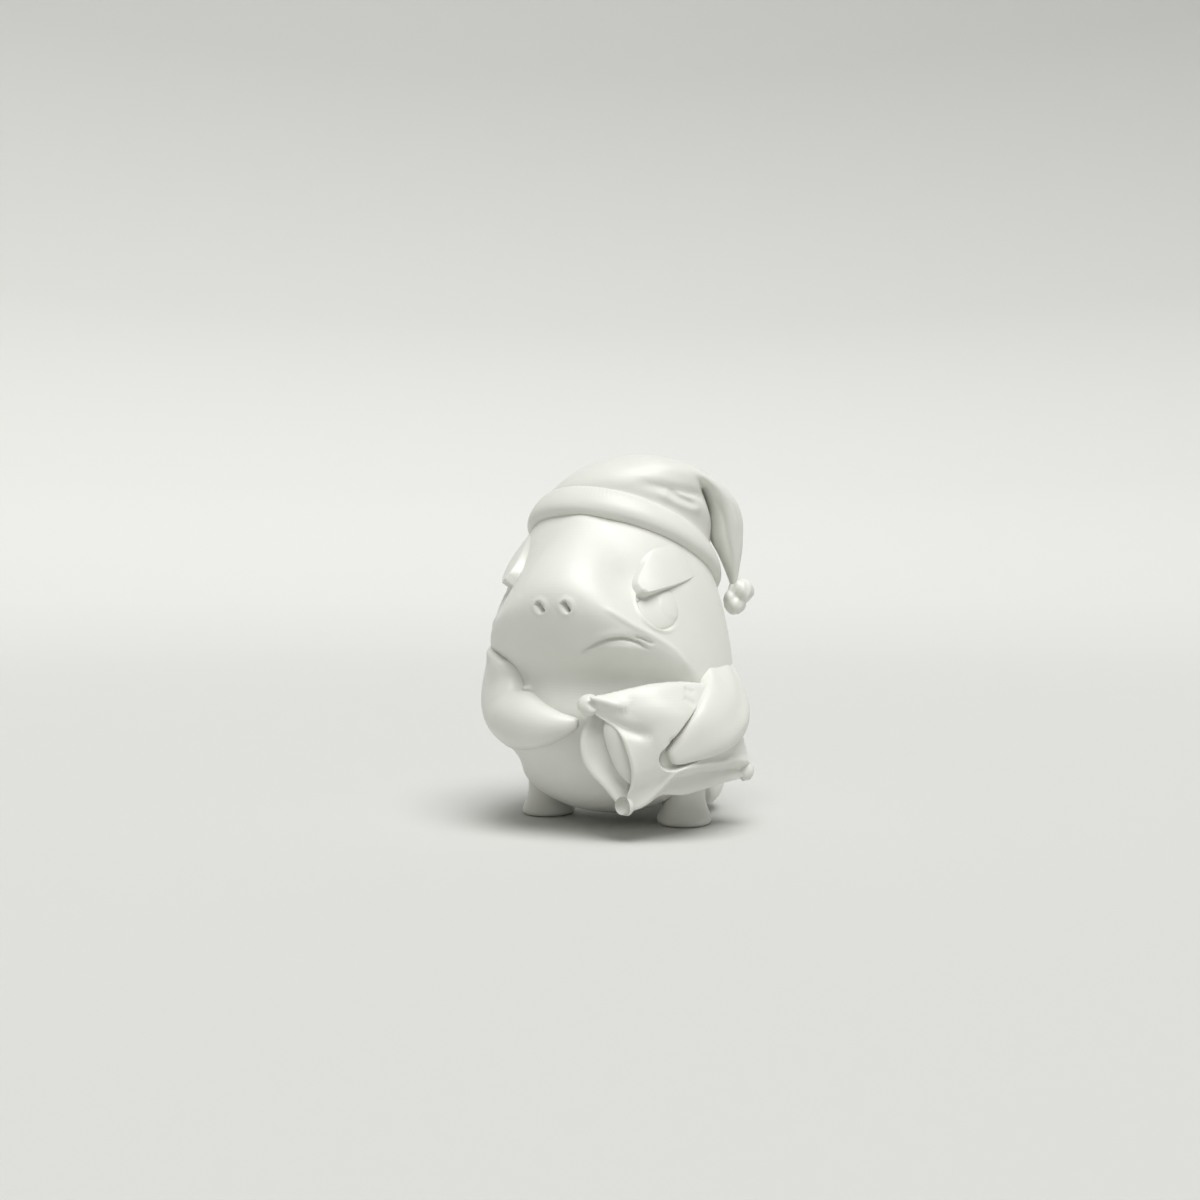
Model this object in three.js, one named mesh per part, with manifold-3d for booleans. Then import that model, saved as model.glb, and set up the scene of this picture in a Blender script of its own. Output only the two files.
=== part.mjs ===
// Shark figurine in a nightcap with a pillow under its left arm: an unpainted resin kit of keyed castings.
// Millimetres, +Z up. The shark faces -Y, its own left is +X and its soles stand on Z = 0.
// A turn is an angle in degrees about +Z: 0 is the front, 90 the shark's left side and 180 its back.
// A place on the body is a turn, a height and a lift away from the skin.

import * as THREE from "three";
import { mergeVertices } from "three/addons/utils/BufferGeometryUtils.js";
import Module from "manifold-3d";

// Body: an egg that carries the head and the belly
const BODY_BASE = 0.9; // lowest point of the belly above the floor
const BODY_TOP = 37.6; // top of the head, under the cap
const BELLY_HEIGHT = 14; // height of the widest ring
const BELLY_HALF_WIDTH = 13.1;
const BELLY_HALF_DEPTH = 12.6;
const HEAD_FULLNESS = 1.75; // exponent of the egg above the widest ring
const BASE_FULLNESS = 2.2; // exponent of the egg below it
const WAIST_HEIGHT = 6.9; // the belly's sides are drawn in most at this height
const WAIST_HOLLOW = 1.85; // how far they are drawn in
const WAIST_SOFTNESS = 1.9; // half the height of that hollow

// Snout: a ridge that falls from the nose to both cheeks, with the jaw receding under it
const NOSE_HEIGHT = 24.5;
const NOSE_REACH = 4; // how far the nose stands out of the egg
const FOREHEAD_RUN = 9; // height over which the snout grows out of the forehead
const BROW_HOLLOW = 1.6; // exponent of the hollow above the crisp part of the ridge
const RIDGE_FALL = 10; // drop of the ridge from the nose to the cheek
const RIDGE_TURN = 76; // turn at which the ridge levels out
const RIDGE_BEND = 13; // turn over which the ridge bends at the nose
const RIDGE_SOFT = 12; // up to this turn the ridge is as round as the nose
const RIDGE_CRISP = 40; // from this turn it is a crisp edge
const SNOUT_TURN = 76; // turn at which the snout has died into the cheek
const THROAT_HEIGHT = 15.3;
const THROAT_HOLLOW = 1; // depth of the throat's hollow
const THROAT_SOFTNESS = 2.2; // half the height of that hollow
const CHIN_DEPTH = 2; // least height of the jaw under the ridge
const RING_SAG = 1.5; // exponent with which the facet rings settle onto the ridge

// Mouth: a frown on the shark's left cheek, and two nostril slits under the nose
const MOUTH_ROUTE = [
  { turn: 8, height: 18.3, lift: 0 },
  { turn: 15, height: 19.4, lift: 0 },
  { turn: 24, height: 19.7, lift: 0 },
  { turn: 32, height: 19.3, lift: 0 },
  { turn: 38, height: 18.5, lift: 0 },
];
const MOUTH_HALF_WIDTH = 0.22;
const MOUTH_DEPTH = 0.4;
const NOSTRIL_TURN = 4.3;
const NOSTRIL_HEIGHT = 22.7;
const NOSTRIL_HALF_WIDTH = 0.3;
const NOSTRIL_HALF_LENGTH = 0.7;
const NOSTRIL_DEPTH = 0.45;

// Eyes: low domes in round sockets, half covered by slanted lids
const EYE_TURN = 48.5;
const EYE_HEIGHT = 23.1;
const EYE_RADIUS = 2.35;
const EYE_DOME = 0.45; // height of the dome above its rim
const EYE_RIM = 0.25; // how far the rim lies under the skin at its centre
const EYE_SINK = 1.6; // depth of the eye's back face under the skin
const EYE_RINGS = 5; // facet rings on the dome
const LID_TURN = 49;
const LID_HEIGHT = 26;
const LID_HALF_WIDTH = 3.9;
const LID_HALF_HEIGHT = 4.3;
const LID_HALF_THICKNESS = 2.5;
const LID_SINK = 1.2; // centre of the lid's dome under the skin
const LID_EDGE = -1.3; // lower edge of the lid, from its centre
const LID_SLANT = 17; // the lower edge falls this much towards the nose

// Flippers: each follows a route over the body, with a half width at each waypoint
const RIGHT_ARM_ROUTE = [
  { turn: -57, height: 19.6, lift: -1.6 },
  { turn: -50, height: 16.2, lift: -0.7 },
  { turn: -43, height: 13.2, lift: -0.5 },
  { turn: -28, height: 11.5, lift: 0.6 },
  { turn: -9, height: 11.3, lift: 1.1 },
  { turn: 11, height: 11.9, lift: 1.1 },
];
const RIGHT_ARM_HALF_WIDTHS = [3.2, 4.9, 4.5, 3.35, 2.55, 1];
const RIGHT_ARM_HALF_THICKNESSES = [1.6, 1.9, 2, 1.95, 1.7, 1];
const LEFT_ARM_ROUTE = [
  { turn: 98, height: 17.6, lift: -3 },
  { turn: 91, height: 15.7, lift: 0.1 },
  { turn: 79.5, height: 13.4, lift: 1.2 },
  { turn: 60.8, height: 11.1, lift: 2.9 },
  { turn: 44.6, height: 8.3, lift: 4 },
];
const LEFT_ARM_HALF_WIDTHS = [2.4, 3.6, 3.7, 3, 1.5];
const LEFT_ARM_HALF_THICKNESSES = [1.2, 1.3, 1.4, 1.4, 1.1];

// Feet: flared bells, each with a flat sole
const FOOT_SPACING = 15.9; // between the foot centres
const FOOT_SET_BACK = 0.8; // foot centres behind the body's axis
const FOOT_RADIUS = 2.8; // at the flare
const FOOT_EDGE = 0.5; // rounding of the sole's rim
const ANKLE_RADIUS = 2.1;
const ANKLE_HEIGHT = 2.6;
const FOOT_HEIGHT = 6.6; // before the top is shaped to the belly
const LEG_TOP_RADIUS = 1.3; // where the leg has died into the belly
const FOOT_LENGTHENING = 1.12; // front-to-back length over width

// Tail: curls round the shark's left, just above the floor
const TAIL_ROUTE = [
  { turn: 184, height: 6.6, lift: -3 },
  { turn: 172, height: 5, lift: 2.8 },
  { turn: 150, height: 3.7, lift: 4.9 },
  { turn: 123, height: 2.4, lift: 4 },
];
const TAIL_HALF_HEIGHTS = [5, 4.2, 3, 2];
const TAIL_HALF_THICKNESSES = [4.6, 3.6, 2.4, 1.5];

// Dorsal fin: a swept blade on the back, below the cap
const FIN_TOP = 18.2; // root of the leading edge
const FIN_BOTTOM = 8.4; // root of the trailing edge
const FIN_REACH = 5.4; // tip behind the widest ring
const FIN_TIP_HEIGHT = 10.6;
const FIN_HOLLOW = 1.6; // how far the trailing edge is drawn in
const FIN_ROOT_DEPTH = 3; // root line inside the widest ring
const FIN_THICKNESS = 1.8;
const FIN_EDGE = 0.6; // rounding along the blade's edge

// Nightcap: a rolled cuff on a tilted plane, and a crown that grips the head and droops to one side
const CAP_HEIGHT = 28.55; // cuff's lower edge on the body's axis
const CAP_TILT = 26.6; // the cap is pulled down at the back by this angle
const CAP_LOW_TURN = 165; // turn at which the cuff is lowest
const CUFF_BREADTH = 3.7; // from its lower to its upper edge
const CUFF_RISE = 1.15; // how far the roll stands out of the head
const CROWN_RISE = 0.9; // its thickness over the head
const CROWN_TUCK = 1.4; // how far it reaches down behind the cuff's upper edge
const CROWN_CLIMB = 9; // how fast its rings climb the head while they still grip it
const CROWN_GRIP = 0.06; // share of its length up to which it grips the head
const CROWN_LOOSE = 0.26; // share from which it hangs free
const DROOP_TURN = 120.4; // it droops towards this turn

// Rings of the loose crown, from the head to the tip. Each has an outer and an inner point in the upright
// plane of the droop, as a distance from the axis and a height above the cuff. It also has a half width
// across that plane, a slope in that direction and a shift of its centre.
const CROWN_RINGS = [
  { outer: [-8.2, 4.85], inner: [11, -0.55], halfWidth: 9, slope: 0.33, shift: -1.2 },
  { outer: [-4.5, 8.25], inner: [10.85, 2.85], halfWidth: 7.8, slope: 0.2, shift: -0.6 },
  { outer: [2.6, 10.5], inner: [9.75, 6.05], halfWidth: 5.8, slope: 0.05, shift: 0 },
  { outer: [11.3, 7.85], inner: [9.8, 6.45], halfWidth: 3.6, slope: 0, shift: 0 },
  { outer: [14.2, 3.85], inner: [10.85, 3.45], halfWidth: 2.6, slope: 0, shift: 0 },
  { outer: [14.2, 0.25], inner: [11.45, 0.05], halfWidth: 1.8, slope: 0, shift: 0 },
  { outer: [13.6, -2.85], inner: [12.2, -3.05], halfWidth: 1, slope: 0, shift: 0 },
];
const POMPOM_RADIUS = 1.75;
const POMPOM_HEIGHT = 2.2; // half its height
const POMPOM_DROP = 1.8; // its centre below the end of the cap's tail
const POMPOM_OUT = 0.9; // its centre further from the body than that end
const POMPOM_LUMP = 0.12; // share by which its tufts swell
const POMPOM_TUFTS = 4; // tufts round it
const POMPOM_TWIST = 3; // how strongly their rows spiral

// Pillowcase under the left arm: two panels between a top seam, a lower seam, a closed end and an open end
// with two lips. Its edges run through turns, heights and distances off the belly's widest ring.
const FRONT_LIP = [
  [13.4, 14.2, 2.2],
  [22, 12, 2.8],
  [29.9, 9, 3],
  [31.4, 5.8, 2.2],
  [29.4, 2.8, 1.5],
];
const BACK_LIP = [
  [12.4, 13.8, 1.8],
  [12.6, 10.9, 1.3],
  [13.2, 8, 1.2],
  [20.6, 5.6, 0.9],
  [27.4, 2.8, 1],
];
const TOP_SEAM = [
  [12.9, 14, 2],
  [38.8, 15.35, 1.6],
  [60, 15.3, 1.2],
  [84, 14.6, 0.8],
];
const LOW_SEAM = [
  [28.6, 2.8, 1.2],
  [41.5, 4.5, 1],
  [68, 4.9, 0.9],
  [101, 5.3, 2.6],
];
const CLOSED_END = [
  [84, 14.6, 0.8],
  [95, 10.2, 1.1],
  [101, 5.3, 2.6],
];
const CASE_PUFF = 2.2; // how far the outer panel swells beyond its edges
const CASE_SINK = 2.5; // how far the inner panel swells towards the belly
const SWELL_RUN = 0.4; // share of its length over which the swelling sets in
const CASE_WALL = 0.6; // thickness of its cloth

// Fold on the outer panel from the open end's lower corner to the arm and on behind it, as turns and heights
const FLANGE = [
  [28.6, 2.8],
  [36.8, 3.8],
  [41.2, 5.1],
  [47.5, 7.1],
  [60, 7.5],
  [102, 6.8],
];
const FLANGE_DROP = 1; // how far the outer panel falls in below this fold
const FLANGE_RUN = 0.9; // height over which it does so
const FLANGE_START = 0.15; // share of the case's length over which the fold sets in
const OPENING_REACH = 0.3; // share of the case's length that stays open
const OPENING_TAPER = 0.3; // share by which the opening narrows
const OPENING_SHARE = 0.25; // share of the facet rings that line it

// Pillow: a square cushion in the case's open end
const PILLOW_TURN = 32.5;
const PILLOW_MIDDLE_HEIGHT = 9;
const PILLOW_STAND_OFF = 1.7; // its middle off the belly's widest ring
const PILLOW_HALF_LENGTH = 2.6;
const PILLOW_HALF_HEIGHT = 3.6;
const PILLOW_HALF_THICKNESS = 0.9;
const PILLOW_SQUARENESS = 2.6; // exponent of its outline
const PILLOW_FULLNESS = 0.8; // exponent of its section
const PILLOW_SKEW = 0.35; // slope of its ends, the lower corners lying nearer the back
const PILLOW_LEAN = 0.16; // slope of its faces, the lower edge lying nearer the belly

// Keys and clearances
const SEAT_GAP = 0.25; // glue line between two castings
const PEG_RADIUS = 1.2;
const PEG_LENGTH = 3; // length in the body's socket
const PEG_ROOT = 0.6; // length from the skin into the piece that carries the peg
const FIN_PEG_RADIUS = 0.65;
const PEG_CLEARANCE = 0.2;

// Fineness of the facets
const BODY_FACETS = [48, 28];
const LIMB_FACETS = [18, 16];
const SMALL_FACETS = [20, 10];
const FINE_FACETS = [6, 12];
const CUFF_FACETS = [8, 40];
const CROWN_FACETS = [28, 24];
const CASE_FACETS = [36, 24];
const PILLOW_FACETS = [24, 12];
const FIN_FACETS = [3, 10];
const PEG_SIDES = 12;

const RESIN = 0xdcdcd6;
const RESIN_ROUGHNESS = 0.5;
const PLANE_SIZE = 200; // a block larger than the whole figurine
const END_FULLNESS = 0.5; // exponent of a limb's round ends
const STEP = 0.01; // short step for a direction on the skin
const SETTLING_PASSES = 30; // rounds in which the cap's edge finds its height
const UP = new THREE.Vector3(0, 0, 1);
const radians = THREE.MathUtils.degToRad;
const degrees = THREE.MathUtils.radToDeg;
const smooth = THREE.MathUtils.smoothstep;

const wasm = await Module();
wasm.setup();

// A closed geometry as a solid that can be joined and cut.
function solid(geometry) {
  geometry.deleteAttribute("normal");
  geometry.deleteAttribute("uv");
  const merged = mergeVertices(geometry);
  const mesh = new wasm.Mesh({
    numProp: 3,
    vertProperties: new Float32Array(merged.attributes.position.array),
    triVerts: new Uint32Array(merged.index.array),
  });
  return new wasm.Manifold(mesh);
}

// A sphere or ring whose points are placed by a formula: u runs round it and v from its foot to its top.
function reshape(geometry, place) {
  const { position, uv } = geometry.attributes;
  for (let i = 0; i < position.count; i += 1) {
    const point = place(uv.getX(i) % 1, uv.getY(i));
    position.setXYZ(i, point.x, point.y, point.z);
  }
  return solid(geometry);
}

// The solid less its neighbours, without the loose crumbs that a cut can leave.
function cut(piece, ...tools) {
  const rest = tools.reduce((left, tool) => left.subtract(tool), piece);
  const bodies = rest.decompose();
  return bodies.sort((a, b) => b.volume() - a.volume())[0];
}

// A value that runs smoothly through evenly spaced stations.
function stations(values, share) {
  const place = share * (values.length - 1);
  const first = Math.min(Math.floor(place), values.length - 2);
  return THREE.MathUtils.lerp(values[first], values[first + 1], smooth(place - first, 0, 1));
}

// How far the snout's ridge has dropped from the nose at a turn in radians.
function ridgeFall(turn) {
  const bend = radians(RIDGE_BEND);
  const slide = (angle) => Math.hypot(angle, bend) - bend;
  const end = radians(RIDGE_TURN);
  return (RIDGE_FALL * slide(Math.min(Math.abs(turn), end))) / slide(end);
}

// How far the snout stands out of the egg, or the throat lies inside it.
function snout(turn, height) {
  const swing = Math.abs(turn) / radians(SNOUT_TURN);
  if (swing >= 1) {
    return 0;
  }
  const breadth = Math.cos((swing * Math.PI) / 2) ** 2;
  const above = height - (NOSE_HEIGHT - ridgeFall(turn));
  const chin = Math.max(NOSE_HEIGHT - ridgeFall(turn) - THROAT_HEIGHT, CHIN_DEPTH);
  const rise = Math.min(Math.max(above / FOREHEAD_RUN, 0), 1);
  const crisp = smooth(Math.abs(turn), radians(RIDGE_SOFT), radians(RIDGE_CRISP));
  const forehead = THREE.MathUtils.lerp(1 - smooth(rise, 0, 1), (1 - rise) ** BROW_HOLLOW, crisp);
  const jaw = 1 - smooth(-above / chin, 0, 1);
  const hollow = Math.exp(-(((height - THROAT_HEIGHT) / THROAT_SOFTNESS) ** 2));
  return breadth * (NOSE_REACH * (above > 0 ? forehead : jaw) - THROAT_HOLLOW * hollow);
}

// Point of the skin at a turn in radians and a height; a grown skin lies outside it by that distance.
function skin(turn, height, grow = 0) {
  const rising = height >= BELLY_HEIGHT;
  const end = rising ? BODY_TOP + grow : BODY_BASE - grow;
  const share = Math.min((height - BELLY_HEIGHT) / (end - BELLY_HEIGHT), 1);
  const girth = Math.sqrt(1 - share ** (rising ? HEAD_FULLNESS : BASE_FULLNESS));
  const across = Math.sin(turn) / (BELLY_HALF_WIDTH + grow);
  const along = Math.cos(turn) / (BELLY_HALF_DEPTH + grow);
  const level = (height - WAIST_HEIGHT) / WAIST_SOFTNESS;
  const drawnIn = WAIST_HOLLOW * Math.sin(turn) ** 2 * Math.exp(-(level ** 2));
  const radius = girth / Math.hypot(across, along) + snout(turn, height) - drawnIn * girth;
  return new THREE.Vector3(radius * Math.sin(turn), -radius * Math.cos(turn), height);
}

// The whole skin as a solid: its rings sag at the sides so that one of them runs along the ridge.
function bodyForm(grow = 0) {
  return reshape(new THREE.SphereGeometry(1, ...BODY_FACETS), (u, v) => {
    const turn = (2 * u - 1) * Math.PI;
    const end = v < 0.5 ? BODY_BASE - grow : BODY_TOP + grow;
    const share = 1 - Math.abs(2 * v - 1);
    const spread = (share + 1 - Math.cos((share * Math.PI) / 2)) / 2;
    const height = end + (NOSE_HEIGHT - end) * spread - ridgeFall(turn) * spread ** RING_SAG;
    return skin(turn, height, grow);
  });
}

// Axes on the skin: x along the turn, y up the skin and z out of it.
function seat({ turn, height }) {
  const angle = radians(turn);
  const x = skin(angle + STEP, height).sub(skin(angle - STEP, height)).normalize();
  const rise = skin(angle, height + STEP).sub(skin(angle, height - STEP));
  const z = x.clone().cross(rise).normalize();
  const y = z.clone().cross(x);
  return new THREE.Matrix4().makeBasis(x, y, z).setPosition(skin(angle, height));
}

// Point at a place on the body, lifted straight away from its axis.
function spot({ turn, height, lift }) {
  const angle = radians(turn);
  const out = new THREE.Vector3(Math.sin(angle), -Math.cos(angle), 0);
  return skin(angle, height).addScaledVector(out, lift);
}

// A form along a curve with an oval section, round at both ends.
// Its thickness faces a given way, or away from the body's axis.
function limb({ curve, halfWidths, halfThicknesses, facing, facets = LIMB_FACETS }, grow = 0) {
  return reshape(new THREE.SphereGeometry(1, ...facets), (u, v) => {
    const share = (1 - Math.cos(Math.PI * v)) / 2;
    const along = curve.getTangent(share);
    const centre = curve.getPoint(share).addScaledVector(along, -grow * Math.cos(Math.PI * v));
    const away = facing ?? new THREE.Vector3(centre.x, centre.y, 0);
    const out = away.clone().projectOnPlane(along).normalize();
    const side = out.clone().cross(along);
    const round = Math.sin(Math.PI * v) ** END_FULLNESS;
    const width = (stations(halfWidths, share) + grow) * round * Math.cos(2 * Math.PI * u);
    const thickness = (stations(halfThicknesses, share) + grow) * round * Math.sin(2 * Math.PI * u);
    return centre.addScaledVector(side, width).addScaledVector(out, thickness);
  });
}

// A curve through places on the body.
function route(places) {
  return new THREE.CatmullRomCurve3(places.map(spot));
}

// A peg, or the socket for it, from a point along a direction.
function peg(from, direction, radius, clearance) {
  const length = PEG_ROOT + PEG_LENGTH + clearance;
  const girth = radius + clearance;
  const rod = new THREE.CylinderGeometry(girth, girth, length, PEG_SIDES).translate(0, length / 2, 0);
  const turned = new THREE.Quaternion().setFromUnitVectors(new THREE.Vector3(0, 1, 0), direction);
  const start = from.clone().addScaledVector(direction, -PEG_ROOT);
  return solid(rod.applyQuaternion(turned).translate(start.x, start.y, start.z));
}

// A peg at a place on the body, square to its axis.
function pegInto({ turn, height }, radius, clearance = 0) {
  const from = spot({ turn, height, lift: 0 });
  return peg(from, new THREE.Vector3(-from.x, -from.y, 0).normalize(), radius, clearance);
}

// A turned form on the skin, from a profile of radius and height.
function turnedOn(place, profile) {
  const form = new THREE.LatheGeometry(profile, LIMB_FACETS[0]).rotateX(Math.PI / 2);
  return solid(form.applyMatrix4(seat(place)));
}

// An eye, or its socket: a short plug with a low dome.
function eye(side, grow = 0) {
  const radius = EYE_RADIUS + grow;
  const back = -EYE_SINK - grow;
  const profile = [new THREE.Vector2(0, back), new THREE.Vector2(radius, back)];
  for (let ring = 0; ring <= EYE_RINGS; ring += 1) {
    const angle = (ring * Math.PI) / (2 * EYE_RINGS);
    const height = (EYE_DOME + grow) * Math.sin(angle) - EYE_RIM;
    profile.push(new THREE.Vector2(radius * Math.cos(angle), height));
  }
  profile[profile.length - 1].x = 0;
  return turnedOn({ turn: side * EYE_TURN, height: EYE_HEIGHT }, profile);
}

// An eyelid: a dome on the brow, cut off by a slanted edge above the eye.
function eyelid(side, ...neighbours) {
  const place = seat({ turn: side * LID_TURN, height: LID_HEIGHT });
  const dome = new THREE.SphereGeometry(1, ...SMALL_FACETS);
  dome.scale(LID_HALF_WIDTH, LID_HALF_HEIGHT, LID_HALF_THICKNESS).translate(0, 0, -LID_SINK);
  const below = new THREE.BoxGeometry(PLANE_SIZE, PLANE_SIZE, PLANE_SIZE).translate(0, -PLANE_SIZE / 2, 0);
  below.translate(0, LID_EDGE, 0).rotateZ(side * radians(LID_SLANT));
  const tools = [solid(below.applyMatrix4(place)), eye(side, SEAT_GAP), ...neighbours];
  return cut(solid(dome.applyMatrix4(place)), ...tools);
}

// The two flippers.
const RIGHT_ARM = {
  curve: route(RIGHT_ARM_ROUTE),
  halfWidths: RIGHT_ARM_HALF_WIDTHS,
  halfThicknesses: RIGHT_ARM_HALF_THICKNESSES,
};
const LEFT_ARM = {
  curve: route(LEFT_ARM_ROUTE),
  halfWidths: LEFT_ARM_HALF_WIDTHS,
  halfThicknesses: LEFT_ARM_HALF_THICKNESSES,
};

// The tail, flat and upright.
const TAIL = {
  curve: route(TAIL_ROUTE),
  halfWidths: TAIL_HALF_HEIGHTS,
  halfThicknesses: TAIL_HALF_THICKNESSES,
};

// A foot before it is shaped to the belly.
function footForm(side, grow = 0) {
  const profile = [
    new THREE.Vector2(0, -grow),
    new THREE.Vector2(FOOT_RADIUS - FOOT_EDGE + grow, -grow),
    new THREE.Vector2(FOOT_RADIUS + grow, FOOT_EDGE),
    new THREE.Vector2((FOOT_RADIUS + ANKLE_RADIUS) / 2 + grow, ANKLE_HEIGHT / 2),
    new THREE.Vector2(ANKLE_RADIUS + grow, ANKLE_HEIGHT),
    new THREE.Vector2(LEG_TOP_RADIUS + grow, FOOT_HEIGHT),
    new THREE.Vector2(0, FOOT_HEIGHT),
  ];
  const bell = new THREE.LatheGeometry(profile, LIMB_FACETS[0]).rotateX(Math.PI / 2);
  return solid(bell.scale(1, FOOT_LENGTHENING, 1).translate((side * FOOT_SPACING) / 2, FOOT_SET_BACK, 0));
}

// The peg on top of a foot, or its socket.
function footPeg(side, clearance = 0) {
  const top = new THREE.Vector3((side * FOOT_SPACING) / 2, FOOT_SET_BACK, FOOT_HEIGHT - PEG_LENGTH);
  return peg(top, UP, PEG_RADIUS, clearance);
}

// The dorsal fin: a swept outline in the plane of the back, with rounded edges.
function finForm() {
  const root = BELLY_HALF_DEPTH - FIN_ROOT_DEPTH;
  const tip = BELLY_HALF_DEPTH + FIN_REACH;
  const middle = (FIN_BOTTOM + FIN_TIP_HEIGHT) / 2;
  const outline = new THREE.Shape();
  outline.moveTo(root, FIN_BOTTOM);
  outline.quadraticCurveTo(BELLY_HALF_DEPTH + FIN_HOLLOW, middle + FIN_HOLLOW, tip, FIN_TIP_HEIGHT);
  outline.quadraticCurveTo(tip - FIN_HOLLOW, FIN_TOP, root, FIN_TOP);
  const blade = new THREE.ExtrudeGeometry(outline, {
    depth: FIN_THICKNESS - 2 * FIN_EDGE,
    bevelThickness: FIN_EDGE,
    bevelSize: FIN_EDGE,
    bevelSegments: FIN_FACETS[0],
    curveSegments: FIN_FACETS[1],
  });
  blade.translate(0, 0, FIN_EDGE - FIN_THICKNESS / 2);
  const back = new THREE.Matrix4().makeBasis(new THREE.Vector3(0, 1, 0), UP, new THREE.Vector3(1, 0, 0));
  return solid(blade.applyMatrix4(back));
}

// Point where the cap's tilted plane, raised by a height, crosses the skin at a turn in radians.
function capPoint(turn, raised) {
  const slope = Math.tan(radians(CAP_TILT)) * Math.cos(turn - radians(CAP_LOW_TURN));
  let point = skin(turn, CAP_HEIGHT + raised);
  for (let pass = 0; pass < SETTLING_PASSES; pass += 1) {
    point = skin(turn, CAP_HEIGHT + raised - slope * Math.hypot(point.x, point.y));
  }
  return point;
}

// The cuff: a rolled band whose oval section follows the head round the cap's plane.
function cuffForm(grow = 0) {
  return reshape(new THREE.TorusGeometry(1, 0.5, ...CUFF_FACETS), (u, v) => {
    const turn = (2 * u - 1) * Math.PI;
    const raised = CUFF_BREADTH / 2;
    const centre = capPoint(turn, raised);
    const up = capPoint(turn, raised + STEP).sub(capPoint(turn, raised - STEP)).normalize();
    const round = capPoint(turn + STEP, raised).sub(capPoint(turn - STEP, raised));
    const out = round.cross(up).normalize();
    const rise = (CUFF_RISE + grow) * Math.cos(2 * Math.PI * v);
    const breadth = (CUFF_BREADTH / 2 + grow) * Math.sin(2 * Math.PI * v);
    return centre.addScaledVector(out, rise).addScaledVector(up, breadth);
  });
}

// The crown's plane of droop: a direction out of the axis and one across it.
const DROOP_OUT = new THREE.Vector3(Math.sin(radians(DROOP_TURN)), -Math.cos(radians(DROOP_TURN)), 0);
const DROOP_SIDE = DROOP_OUT.clone().cross(UP);
const CROWN_OUTER = profile(CROWN_RINGS.map(({ outer }) => outer));
const CROWN_INNER = profile(CROWN_RINGS.map(({ inner }) => inner));

// A smooth line in the plane of the droop, through distances from the axis and heights above the cuff.
function profile(points) {
  const places = points.map(([reach, rise]) => new THREE.Vector3(reach, 0, CAP_HEIGHT + rise));
  return new THREE.CatmullRomCurve3(places);
}

// Point of the crown where it hangs free, never nearer the head than its own thickness.
function loosePoint(share, angle, grow) {
  const width = (key) => stations(CROWN_RINGS.map((ring) => ring[key]), share);
  const outer = CROWN_OUTER.getPoint(share);
  const half = CROWN_INNER.getPoint(share).sub(outer).multiplyScalar(1 / 2);
  const middle = outer.add(half);
  middle.addScaledVector(half.setLength(half.length() + grow), Math.cos(angle));
  const across = width("shift") - (width("halfWidth") + grow) * Math.sin(angle);
  const point = new THREE.Vector3(0, 0, middle.z + width("slope") * across);
  point.addScaledVector(DROOP_OUT, middle.x).addScaledVector(DROOP_SIDE, across);
  if (point.z < BODY_TOP && share < 1 / 2) {
    const head = skin(Math.atan2(point.x, -point.y), point.z);
    const reach = Math.hypot(point.x, point.y);
    const push = Math.max(Math.hypot(head.x, head.y) + CROWN_RISE + grow - reach, 0);
    point.add(new THREE.Vector3(point.x, point.y, 0).setLength(push));
  }
  return point;
}

// Point of the crown at a share of the way to its tip and an angle round its ring.
function crownPoint(share, angle, grow) {
  const turn = radians(DROOP_TURN) + angle;
  const head = capPoint(turn, CUFF_BREADTH - CROWN_TUCK + CROWN_CLIMB * share);
  const out = new THREE.Vector3().setFromMatrixColumn(seat({ turn: degrees(turn), height: head.z }), 2);
  head.addScaledVector(out, CROWN_RISE + grow);
  return head.lerp(loosePoint(share, angle, grow), smooth(share, CROWN_GRIP, CROWN_LOOSE));
}

// The crown: rings from behind the cuff to the tip of the droop, closed flat at both ends.
function crownForm(grow = 0) {
  const rings = CROWN_FACETS[1];
  return reshape(new THREE.SphereGeometry(1, ...CROWN_FACETS), (u, v) => {
    const share = THREE.MathUtils.clamp((v * rings - 1) / (rings - 2), 0, 1);
    if (v === 0 || v === 1) {
      return crownPoint(share, 0, grow).lerp(crownPoint(share, Math.PI, grow), 1 / 2);
    }
    return crownPoint(share, 2 * Math.PI * u, grow);
  });
}

// The pompom: a tufted ball at the end of the cap's tail.
function pompomForm() {
  const end = crownPoint(1, 0, 0).lerp(crownPoint(1, Math.PI, 0), 1 / 2);
  end.addScaledVector(DROOP_OUT, POMPOM_OUT);
  return reshape(new THREE.SphereGeometry(1, ...SMALL_FACETS), (u, v) => {
    const turn = 2 * Math.PI * u;
    const tilt = Math.PI * v;
    const tuft = Math.cos(POMPOM_TUFTS * turn + POMPOM_TWIST * tilt);
    const swell = 1 + POMPOM_LUMP * Math.sin(tilt) * tuft;
    const radius = POMPOM_RADIUS * swell * Math.sin(tilt);
    const height = -POMPOM_DROP - POMPOM_HEIGHT * Math.cos(tilt);
    return new THREE.Vector3(radius * Math.cos(turn), radius * Math.sin(turn), height).add(end);
  });
}

// Point at a turn in degrees, a height and a distance off the belly's widest ring.
function around(turn, height, off) {
  const radius = BELLY_HALF_DEPTH + off;
  return new THREE.Vector3(radius * Math.sin(radians(turn)), -radius * Math.cos(radians(turn)), height);
}

// A smooth edge of the case through places, as a curve of turn, height and distance.
function edge(places) {
  return new THREE.CatmullRomCurve3(places.map((place) => new THREE.Vector3(...place)));
}

const CASE_EDGES = [FRONT_LIP, BACK_LIP, TOP_SEAM, LOW_SEAM, CLOSED_END].map(edge);

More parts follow.
